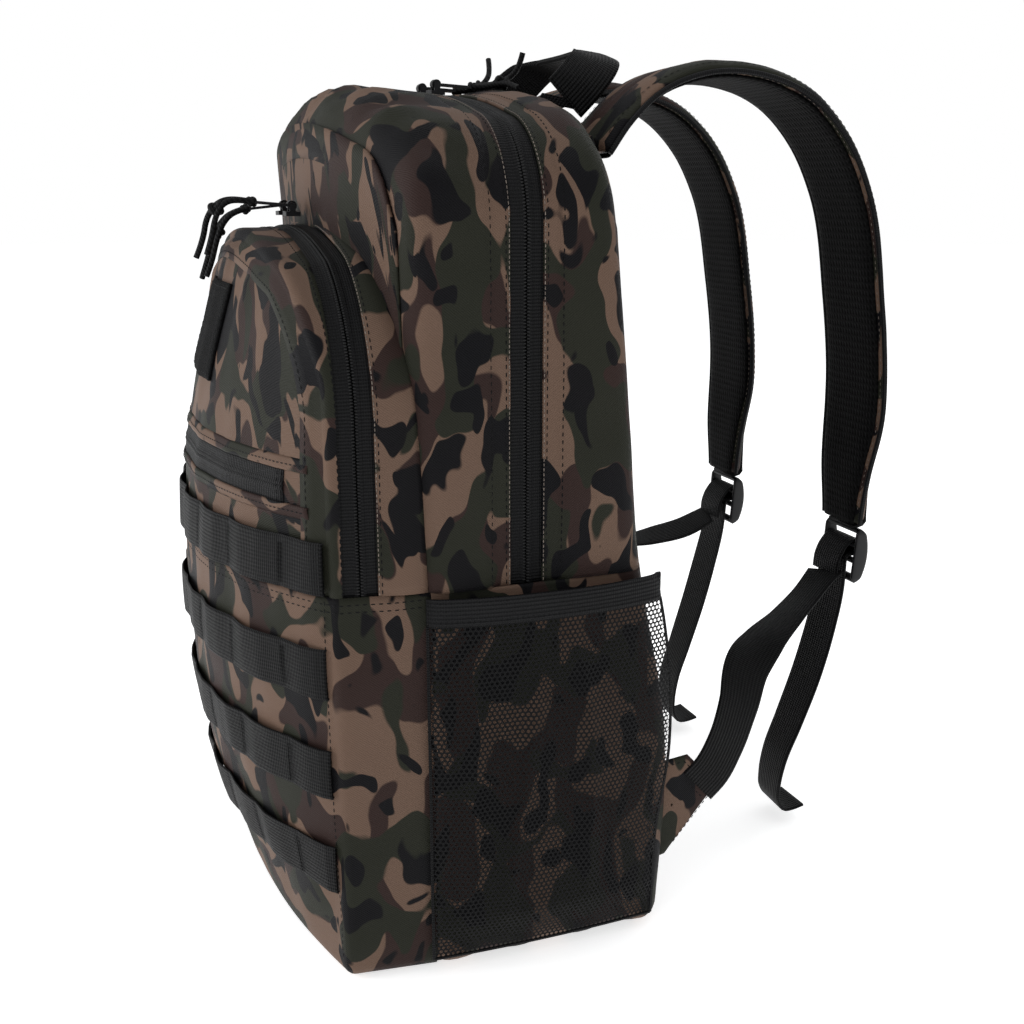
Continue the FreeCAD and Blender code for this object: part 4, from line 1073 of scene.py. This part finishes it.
done(foam, "root", "back_foam")

# ---------------------------------------------------------------- shoulder straps
STRAP = ((74.5, 394.5), (86, 410), (101, 423), (125, 432), (156, 432), (185, 422), (207, 402),
         (222, 376), (235, 321), (242, 256), (239, 218), (239, 190))
TAIL = ((237.8, 168), (236.4, 150), (231, 124), (223, 94), (213, 64), (205, 40), (203, 24),
        (203.6, 15), (208, 8.6), (214, 8.0), (221, 9.2))
LOWER = ((70, 232.4, 158, 0), (77, 216, 148, -6), (88, 196, 140.6, -4), (102, 172, 133.2, 14),
         (114, 154, 124, 48), (128, 141, 108.5, 80), (138, 128, 92, 90), (141.8, 118, 80.4, 90),
         (141.8, 110, 73, 90))
LOCK_END = ((249.2, 189.6), (247.6, 188.2), (244.9, 187.5), (241.6, 187.4))
STRAP_X, TAB_X, TAB_Z = 70.0, 140.6, 90
TAB = ((80, 34), (80, 90), (104, 92), (122, 72), (92, 36), (80, 34))
TAB_RINGS = ((1, 0), (0.985, 0.7), (0.95, 1.1), (0.8, 1.35), (0.6, 1.4), (0.4, 1.4), (0.2, 1.4),
             (0.03, 1.4))
TAB_SEAMS = (((101, 89.5), (119, 69.5)), ((96, 85), (114, 65)), ((84, 87), (102, 89)),
             ((119, 69), (94, 40)))
ALONG_X = (1.0, 0, 0)

strap_line = curve_through(STRAP, 4.0)
strap_t = tangents(strap_line)
strap_out = np.stack([-strap_t[:, 1], strap_t[:, 0]], 1)
strap_run = lengths(strap_line)
falling = np.arange(len(strap_line)) > len(strap_line) // 2
narrowing = 17 + 10 * np.clip((strap_line[:, 1] - 190) / 60, 0, 1)
strap_half = np.where(falling & (strap_line[:, 1] < 250), narrowing, 27.0)
strap_half = np.convolve(np.pad(strap_half, 3, mode="edge"), np.ones(7) / 7, "valid")


def strap_points(x_off, lift, side, rows=slice(None)):
    """Points at an offset across the strap and a lift off its inner line."""
    yz = strap_line[rows][:, None, :] + strap_out[rows][:, None, :] * lift[..., None]
    return np.concatenate([(side * STRAP_X + x_off)[..., None], yz], -1)


def strap_shell(side):
    n = len(strap_line)
    outer, inner = np.linspace(-1, 1, 29), np.linspace(1, -1, 19)[1:-1]
    crown = 2.9 + 6.1 * (1 - np.abs(outer) ** 4.5) ** 0.6
    under = 0.9 + 1.4 * np.abs(inner) ** 6
    a = np.concatenate([outer, inner])
    lift = np.broadcast_to(np.concatenate([crown, under]), (n, len(a))).copy()
    X = a[None, :] * strap_half[:, None]
    s = strap_run[:, None]
    crease = -1.3 * bump(a[None, :], 0.10 + 0.03 * np.sin(s / 55), 0.05)
    crease = crease * ease(10, 50, s) * ease(310, 230, s)
    folds = 0.9 * rough(np.stack([X / 2.2, s + 0 * X, 0 * X], -1), 13, 91 + side) * bump(s, 60, 90)
    lift += np.where(np.arange(len(a))[None, :] < len(outer), crease + folds, 0)
    ripple = 0.5 * rough(np.stack([0 * X, s + 0 * X, 0 * X], -1), 22, 95 + side)
    ends = ease(0, 4, np.minimum(s, strap_run[-1] - s))
    lift = 4.0 + (lift - 4.0) * (0.35 + 0.65 * ends)
    return strap_points(X + ripple * np.sign(a)[None, :], lift, side)


def on_strap(side, x_off, lift, z_range=None):
    """A line along the strap and its outward normals."""
    rows = np.arange(len(strap_line))
    if z_range:
        z = strap_line[:, 1]
        rows = rows[falling & (z > z_range[0]) & (z < z_range[1])]
    x = np.broadcast_to(np.asarray(x_off, float), (len(strap_line),))[rows]
    p = strap_points(x[:, None], np.full((len(rows), 1), lift), side, rows)[:, 0]
    return p, np.concatenate([np.zeros((len(rows), 1)), strap_out[rows]], 1)


for side_name, side in SIDES:
    body, x = f"strap_{side_name}", side * STRAP_X
    shell = grid(f"strap_cushion_{side_name}", strap_shell(side), CAMO_STRAP, wrap=True,
                 away=None, cap=True)
    fix_normals(shell)
    done(shell, body, f"strap_pad_{side_name}")
    # spacer mesh on the inner face
    a = np.linspace(-1, 1, 17)
    X = a[None, :] * (strap_half[:, None] - 3.6)
    lift = np.broadcast_to(0.75 - 1.15 * (1 - np.abs(a) ** 6), X.shape)
    lift = lift + 0.15 * rough(np.stack([X, strap_run[:, None] + 0 * X, 0 * X], -1), 16, 99)
    inner = grid(f"strap_lining_{side_name}", strap_points(X, lift, side), AIR_MESH, away=None,
                 thick=1.0)
    inner.modifiers["thickness"].offset = 0
    done(inner, body, f"strap_mesh_{side_name}")
    # rows of stitching on both faces
    for label, margin, lift, facing, how in (
            ("hem", 2.4, 1.55, -1, {"mat": PALE_THREAD, "pitch": 3.4, "long": 2.0, "wide": 0.5}),
            ("edge", 4.4, 7.3, 1, {"pitch": 3.6, "long": 2.4})):
        lines = [on_strap(side, way * (strap_half - margin), lift) for way in (-1, 1)]
        stitches(f"strap_{label}_stitching_{side_name}",
                 [(p[2:-2], facing * out[2:-2]) for p, out in lines], body, **how)
    # piping along both edges
    for way, label in ((-1, "inner"), (1, "outer")):
        p, out = on_strap(side, way * (strap_half + 0.1), 2.6)
        done(strip(f"strap_binding_{label}_{side_name}", p, ALONG_X, 1.3, 2.8, ELASTIC, out,
                   across=3), body)
    # webbing on the outer face, down to and round the lock's top bar
    p, out = on_strap(side, 0.0, 10.1, (190, 321))
    path = curve_through(np.concatenate([p, [(x, y, z) for y, z in LOCK_END]]), 3.0)
    done(strip(f"strap_webbing_{side_name}", path, ALONG_X, WEBBING / 2, WEB_THICK, WEB), body,
         f"upper_webbing_{side_name}")
    rows = []
    for z in (196, 199, 312, 315):
        _, y_row, z_row = p[np.argmin(np.abs(p[:, 2] - z))]
        xx = np.linspace(-10.5, 10.5, 12)
        rows.append((np.stack([x + xx, 0 * xx + (y_row + 0.9), 0 * xx + z_row], 1), (0, 1, 0)))
    stitches(f"strap_webbing_tacks_{side_name}", rows, body, "black_webbing", pitch=2.0,
             long=1.6, wide=0.7)
    # loose tail, with its end turned back
    tail = curve_through([(x, y, z) for y, z in TAIL], 2.5)
    tail[:, 0] += side * 1.6 * np.sin(lengths(tail) / 38)
    sway = 0.10 * np.sin(lengths(tail) / 42)
    wide = square_to(np.stack([np.cos(sway), np.sin(sway), 0 * sway], 1), tangents(tail))
    done(strip(f"strap_tail_webbing_{side_name}", tail, wide, WEBBING / 2, WEB_THICK, WEB),
         f"lock_{side_name}", f"strap_tail_{side_name}")
    # lower webbing, twisting on its way to the corner tab
    low = curve_through([(side * a, b, c, math.radians(d)) for a, b, c, d in LOWER], 3.0)
    p, twist = low[:, :3], low[:, 3]
    run = unit(np.gradient(p, axis=0) * (0, 1, 1))
    left = np.stack([0 * twist, -run[:, 2], run[:, 1]], 1)
    wide = np.stack([np.cos(twist), 0 * twist, 0 * twist], 1)
    wide = square_to(wide + left * (side * np.sin(twist))[:, None], tangents(p))
    done(strip(f"lower_strap_webbing_{side_name}", p, wide, WEBBING / 2, WEB_THICK, WEB), None,
         f"lower_webbing_{side_name}",
         ("root", body, (side * 128, 141, 108.5), (side * 72, 230, 155)))
    # camo corner tab with dashed stitching, sewn over the webbing's end
    outline = resample(TAB, step=2)
    centre = outline.mean(0)
    parts = []
    for way in (-1, 1):
        rings = [(side * TAB_X + way * rise, centre + (outline - centre) * s)
                 for s, rise in TAB_RINGS]
        P = np.stack([np.concatenate([np.full((len(r), 1), h), r], 1) for h, r in rings], 0)
        P[..., 0] += 0.5 * rough(P, 14, 7)
        parts.append(grid_parts(P, away=(side * TAB_X, *centre), shift=(0, 0)))
    verts, faces, _ = join_parts(parts)
    done(build(f"corner_tab_cloth_{side_name}", verts, faces, CAMO,
               verts[:, [2, 1]] + (31 * side, TAB_Z)), "root", f"corner_tab_{side_name}")
    rows = []
    for way in (-1, 1):
        for ends in TAB_SEAMS:
            h = np.full((14, 1), side * TAB_X + way * 1.45)
            rows.append((np.concatenate([h, np.linspace(*ends, 14)], 1), (way, 0, 0)))
    stitches(f"corner_tab_stitching_{side_name}", rows, "root", pitch=3.2, long=2.2)

# ---------------------------------------------------------------- ladder locks
LOCK_TILT, LOCK_TALL, LOCK_Y, LOCK_Z = math.radians(-4), 33, 244.5, 186.5
LOCK_BARS = ((-1.7, 0.2, 2.2, 1.6), (-10.8, 0.8, 1.8, 1.7), (-20.2, 0.9, 1.9, 1.9),
             (-30.6, 0.4, 2.4, 2.4))
LOCK_LOOP = ((232.4, 158), (233.2, 166), (236.6, 173.6), (240.6, 177.9), (244.6, 179.2),
             (247.8, 177.6), (248.4, 174), (246.6, 171.2), (243, 170.3), (239.6, 169.9),
             (237.8, 168))


def circle(count):
    return np.linspace(0, 2 * math.pi, count + 1)[:-1]


def lock_shell(side):
    """Curved frame with bars, seen from the side as a rounded D."""
    def place(x, y, z):
        tilted_y = y * math.cos(LOCK_TILT) - z * math.sin(LOCK_TILT)
        tilted_z = y * math.sin(LOCK_TILT) + z * math.cos(LOCK_TILT)
        return np.stack([side * STRAP_X + x, LOCK_Y + tilted_y, LOCK_Z + tilted_z], -1)

    drop = np.linspace(0, LOCK_TALL, 34)[:, None]
    bow = 2.4 + 4.4 * np.sin(np.pi * np.clip(drop / LOCK_TALL, 0, 1)) ** 0.7
    taper = np.clip(np.minimum(drop, LOCK_TALL - drop) / 3.0, 0, 1) ** 0.5
    taper = np.maximum(taper, 0.12)
    cy, cx = np.cos(circle(20)), np.sin(circle(20))
    sy = np.sign(cy) * np.abs(cy) ** 0.6 * (bow * 0.5 + 1.2) * taper
    sx = np.sign(cx) * np.abs(cx) ** 0.6 * 1.7 * taper
    surfaces = [place(way * 15.2 + sx, (bow - 2.4) * 0.5 + sy, -drop + 0 * sy) for way in (-1, 1)]
    ang, xs = circle(16), np.linspace(-14.0, 14.0, 8)[:, None]
    surfaces += [place(xs + 0 * ang, y + ry * np.cos(ang) + 0 * xs, z + rz * np.sin(ang) + 0 * xs)
                 for z, y, ry, rz in LOCK_BARS]
    return join_parts([grid_parts(P, wrap=True, away=None) for P in surfaces])


for side_name, side in SIDES:
    v, f, uv = lock_shell(side)
    obj = fix_normals(build(f"lock_shell_{side_name}", v, f, PLASTIC, uv))
    s = obj.modifiers.new("smooth", "SUBSURF")
    s.levels = s.render_levels = 1
    done(obj, f"lock_{side_name}", f"ladder_lock_{side_name}")
    # the webbing's loop over the lock's second bar
    loop = curve_through([(side * STRAP_X, y, z) for y, z in LOCK_LOOP], 0.8)
    done(strip(f"lock_loop_webbing_{side_name}", loop, ALONG_X, WEBBING / 2 - 0.4, 1.5, WEB),
         f"lock_{side_name}")

# ---------------------------------------------------------------- yoke patch and haul handle
X, Z = mesh_of((-104, 104, 70), (376, 404, 16))
edge = np.minimum(104 - np.abs(X), 14 - np.abs(Z - 390))
P = on_back(X, Z, 0.6 + 2.2 * ease(0, 3, edge) + 0.5 * rough_at(X, Z, 18, 33))
done(grid("yoke_cloth", P, CAMO, away=IN_BACK, thick=1.6), "root", "yoke_patch")
X, Z = box_line(-101, 101, 379, 401, 3)
stitches("yoke_stitching", [(on_back(X, Z, 3.0), (0, 1, 0))], "root")

# haul handle: a webbing arch leaning back, folded narrow where it is held
HANDLE = ((-55, 0), (-54, 12), (-46, 29), (-24, 34), (24, 34), (46, 29), (54, 12), (55, 0))
HANDLE_Y, HANDLE_Z, LEAN, SLOPE = 66, 424, math.radians(46), math.radians(10)
STUB = ((54.1, -3.0, -3.5), (54.3, -1.2, -1.4), (54.4, 0, 0.2))
HANDLE_WIDE = (0, math.cos(SLOPE), -math.sin(SLOPE))

x, up = curve_through(HANDLE, 2.5).T
path = np.stack([x, HANDLE_Y + up * math.sin(LEAN), HANDLE_Z + up * math.cos(LEAN)], 1)
tangent = tangents(path)
width_dir = square_to(np.tile(HANDLE_WIDE, (len(path), 1)), tangent)
run = lengths(path)
share = run / run[-1]
grip = ease(0.22, 0.34, share) * ease(0.78, 0.66, share)
out_dir = np.cross(width_dir, tangent)
out_dir *= np.sign((out_dir * (path - path.mean(0))).sum(1).mean())
slump = -1.8 * np.sin(np.pi * np.clip((share - 0.3) / 0.4, 0, 1))
k = np.linspace(-1, 1, 13)[None, :, None]
p, w, t, g = path[:, None], width_dir[:, None], out_dir[:, None], grip[:, None, None]
half = 12.7 - 5.0 * g
upper_side = p + w * (half * k) + t * (0.9 + g * (2.3 + 0.6 * k)) * (1 - 0.25 * abs(k) ** 6)
lower_side = (p + w * (half * k) - t * 0.9 * (1 - 0.4 * abs(k) ** 6))[:, ::-1]
P = np.concatenate([upper_side, lower_side], 1) + t * slump[:, None, None]
obj = grid("haul_handle_webbing", P, WEB, wrap=True, away=None, cap=True)
done(fix_normals(obj), "haul_handle", "haul_handle")
fold = (P[:, 8] + 0.35 * out_dir)[grip > 0.9]
stitches("haul_handle_stitching", [(fold, out_dir[len(P) // 2])], "haul_handle",
         "black_webbing", pitch=3.2, long=2.2)
stubs = []
for way in (-1, 1):
    q = curve_through([(way * x, HANDLE_Y + y, HANDLE_Z + z) for x, y, z in STUB], 1.0)
    wide, thick = (np.broadcast_to(v, q.shape) for v in (HANDLE_WIDE, ALONG_X))
    stubs.append(grid_parts(swept(q, wide, thick, section(12.6, 0.95)), wrap=True, away=None))
verts, faces, uv = join_parts(stubs)
done(fix_normals(build("handle_anchor_webbing", verts, faces, WEB, uv)), "root",
     "handle_anchors")

# ---------------------------------------------------------------- zip pulls
# x, zip's y, arch's radius and top, then each cord's points from the tab and its length
PULLS = {
    "pocket_right": (11, POCKET_ZIP_Y, POCKET_RADIUS, POCKET_TOP, (
        (((1.7, -19.3, 1.7), (1.8, -27, 3.2), (2.6, -35, 1.6), (4.0, -39.5, -6),
          (6.2, -42, -16), (6.9, -45, -24)), 43.5),
        (((-1.7, -19.3, 1.7), (-1.8, -28, 3.6), (-2.2, -37, 2.0), (-3.4, -43, -6),
          (-4.6, -45, -17), (-5.8, -49, -26)), 48.6))),
    "pocket_left": (-11, POCKET_ZIP_Y, POCKET_RADIUS, POCKET_TOP, (
        (((1.7, -19.3, -1.7), (2.0, -26.5, -3.0), (2.9, -33, -9), (4.4, -37, -18.5),
          (7.2, -40, -28.5), (8.2, -43.5, -36)), 44.0),
        (((-1.7, -19.3, -1.7), (-1.9, -27.5, -3.4), (-2.5, -34.5, -10), (-4.3, -38.5, -20),
          (-6.0, -41.5, -30), (-9.0, -44, -38)), 48.1))),
    "main_right": (13, ZIP_Y, MAIN_RADIUS, TOP, (
        (((1.7, 19.3, -0.8), (2.0, 26, -0.9), (3.3, 33, 0.8), (7.0, 38, 1.0), (12.5, 40, -0.8),
          (19, 39.5, -2.0)), 32.6),
        (((-1.7, 19.3, -0.8), (-1.6, 27, 0.2), (-2.2, 35, 1.6), (-1.0, 42, 4.6), (2.4, 46, 10),
          (3.4, 47.5, 17)), 38.0))),
    "main_left": (-13, ZIP_Y, MAIN_RADIUS, TOP, (
        (((1.7, 19.3, -0.8), (1.9, 26, -0.4), (1.2, 33, 1.6), (-0.8, 38, 5.6),
          (-4.6, 41, 10.4), (-8.4, 41.5, 17)), 34.9),
        (((-1.7, 19.3, -0.8), (-1.9, 26, -0.6), (-4.6, 32.5, -0.2), (-9.0, 37, -0.4),
          (-15, 38.5, -1.4), (-21, 36.5, -2.6)), 32.3))),
}
CORD_RADIUS = 0.0015


def cord_curve(name, points):
    data = bpy.data.curves.new(name, "CURVE")
    data.dimensions = "3D"
    data.bevel_depth, data.bevel_resolution, data.resolution_u = CORD_RADIUS, 4, 10
    data.use_fill_caps = True
    spline = data.splines.new("NURBS")
    spline.points.add(len(points) - 1)
    for made, p in zip(spline.points, points):
        made.co = (*(p * MM), 1)
    spline.order_u, spline.use_endpoint_u = 3, True
    data.materials.append(CORD)
    obj = bpy.data.objects.new(name, data)
    bpy.context.scene.collection.objects.link(obj)
    return obj


def knot(name, centre, way, size):
    """Tight overhand knot, a closed tube along way."""
    t = circle(72)
    line = np.stack([(np.sin(t) + 2 * np.sin(2 * t)) * 0.75, (np.cos(t) - 2 * np.cos(2 * t)) * 0.75,
                     -1.25 * np.sin(3 * t) * 1.15], 1) * size
    way = unit(way)
    a = unit(np.cross(way, (0.2, 0.9, 0.4)))
    b = np.cross(way, a)
    p = centre + line[:, :1] * way * 1.1 + line[:, 1:2] * a + line[:, 2:] * b
    tangent = unit(np.roll(p, -1, 0) - np.roll(p, 1, 0))
    across_dir = unit(np.cross(tangent[0], (0.3, 0.2, 0.9)))
    ang = circle(10)[:, None]
    rows = []
    for q, along_dir in zip(p, tangent):
        across_dir = unit(across_dir - along_dir * (across_dir @ along_dir))
        other = np.cross(along_dir, across_dir)
        rows.append(q + 1.45 * (np.cos(ang) * across_dir + np.sin(ang) * other))
    v, f, uv = grid_parts(np.array(rows + rows[:1]), wrap=True, away=None)
    return fix_normals(build(name, v, f, CORD, uv))


for name, (x, zip_y, radius, top, legs) in PULLS.items():
    body = f"pull_{name}"
    out = np.array([x / radius, 0, math.sqrt(1 - (x / radius) ** 2)])
    bar = np.array([x, zip_y, top - radius + math.sqrt(radius**2 - x**2)]) + out * 5.5
    a, b = (bar + np.array(points) for points, _ in legs)
    middle = (a[2] * 0.6 + a[3] * 0.4 + b[2] * 0.6 + b[3] * 0.4) / 2
    tie = done(knot(f"pull_knot_{name}", middle, a[3] - a[1], 1.25), body)
    hitch_at = (a[0] + b[0]) / 2 + (a[1] - a[0]) * 0.12
    hitch = done(knot(f"pull_hitch_{name}", hitch_at, a[1] - a[0], 0.72), body)
    for leg, points, (_, length) in zip("ab", (a, b), legs):
        obj = cord_curve(f"pull_line_{name}_{leg}", points)
        done(obj, body, f"pull_cord_{name}_{leg}")

# ---------------------------------------------------------------- finishes of the CAD's own parts
BOARD = hard_material("base_board_sheet", (0.02, 0.02, 0.021), 0.5, 0.0, 500.0)
FINISHES = (("slider_", METAL), ("pull_tab_", METAL), ("base_board", BOARD))
for node_name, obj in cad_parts.items():
    finish = next((mat for start, mat in FINISHES if node_name.startswith(start)), None)
    for place in obj.material_slots if finish else ():
        place.link = "OBJECT"
        place.material = finish


# ---------------------------------------------------------------- camera, light and floor
def aim(obj, place, way):
    """Puts a camera or lamp at place, looking along way."""
    obj.location = place
    obj.rotation_mode = "QUATERNION"
    obj.rotation_quaternion = Vector(way).to_track_quat("-Z", "Y")
    bpy.context.scene.collection.objects.link(obj)


MIDDLE = (0.0, 0.05, 0.22)
for name, place, size, power in (("key", (1.4, -1.5, 1.6), 1.2, 5),
                                 ("fill", (1.9, 1.2, 0.7), 1.6, 2),
                                 ("front", (-0.6, -2.0, 0.9), 1.2, 22),
                                 ("above", (0.0, 0.1, 2.2), 1.6, 8),
                                 ("rear", (-0.8, 1.8, 1.0), 1.5, 8)):
    data = bpy.data.lights.new(name, "AREA")
    data.shape, data.size, data.energy = "SQUARE", size, power
    aim(bpy.data.objects.new(name, data), place, Vector(MIDDLE) - Vector(place))

world = bpy.data.worlds.new("studio")
bpy.context.scene.world = world
world.use_nodes = True
tree = world.node_tree
around, white = tree.nodes["Background"], tree.nodes.new("ShaderNodeBackground")
around.inputs[0].default_value = (0.97, 0.985, 1, 1)
around.inputs[1].default_value = 0.45
white.inputs[0].default_value = (1, 1, 1, 1)
either, ray = tree.nodes.new("ShaderNodeMixShader"), tree.nodes.new("ShaderNodeLightPath")
for output, place in ((ray.outputs["Is Camera Ray"], either.inputs[0]),
                      (around.outputs[0], either.inputs[1]), (white.outputs[0], either.inputs[2]),
                      (either.outputs[0], tree.nodes["World Output"].inputs[0])):
    tree.links.new(output, place)
bpy.context.scene.view_settings.view_transform = "Standard"

bpy.ops.mesh.primitive_circle_add(vertices=96, radius=9.0, fill_type="NGON",
                                  location=(0, 0, -0.0006))
floor = bpy.context.active_object
floor.name = "studio_floor"
pale = Mat("pale_floor", 0.85, 0.1, Emission_Color=(1, 1, 1, 1), Emission_Strength=0.64)
speck = pale.noise(pale.object_place(), 3, 2, 0.5)
pale.feed(pale.shader["Base Color"], pale.mix(speck, (0.90, 0.90, 0.90), (0.93, 0.93, 0.93)))
floor.data.materials.append(pale.m)

camera_data = bpy.data.cameras.new("camera")
camera_data.lens, camera_data.sensor_width = 42.1, 36.0
camera_data.clip_start, camera_data.clip_end = 0.01, 50
camera = bpy.data.objects.new("camera", camera_data)
azimuth, pitch = math.radians(69.7), math.radians(15.0)
aim(camera, (0.649, -0.1825, 0.3784),
    (-math.sin(azimuth) * math.cos(pitch), math.cos(azimuth) * math.cos(pitch), -math.sin(pitch)))
bpy.context.scene.camera = camera
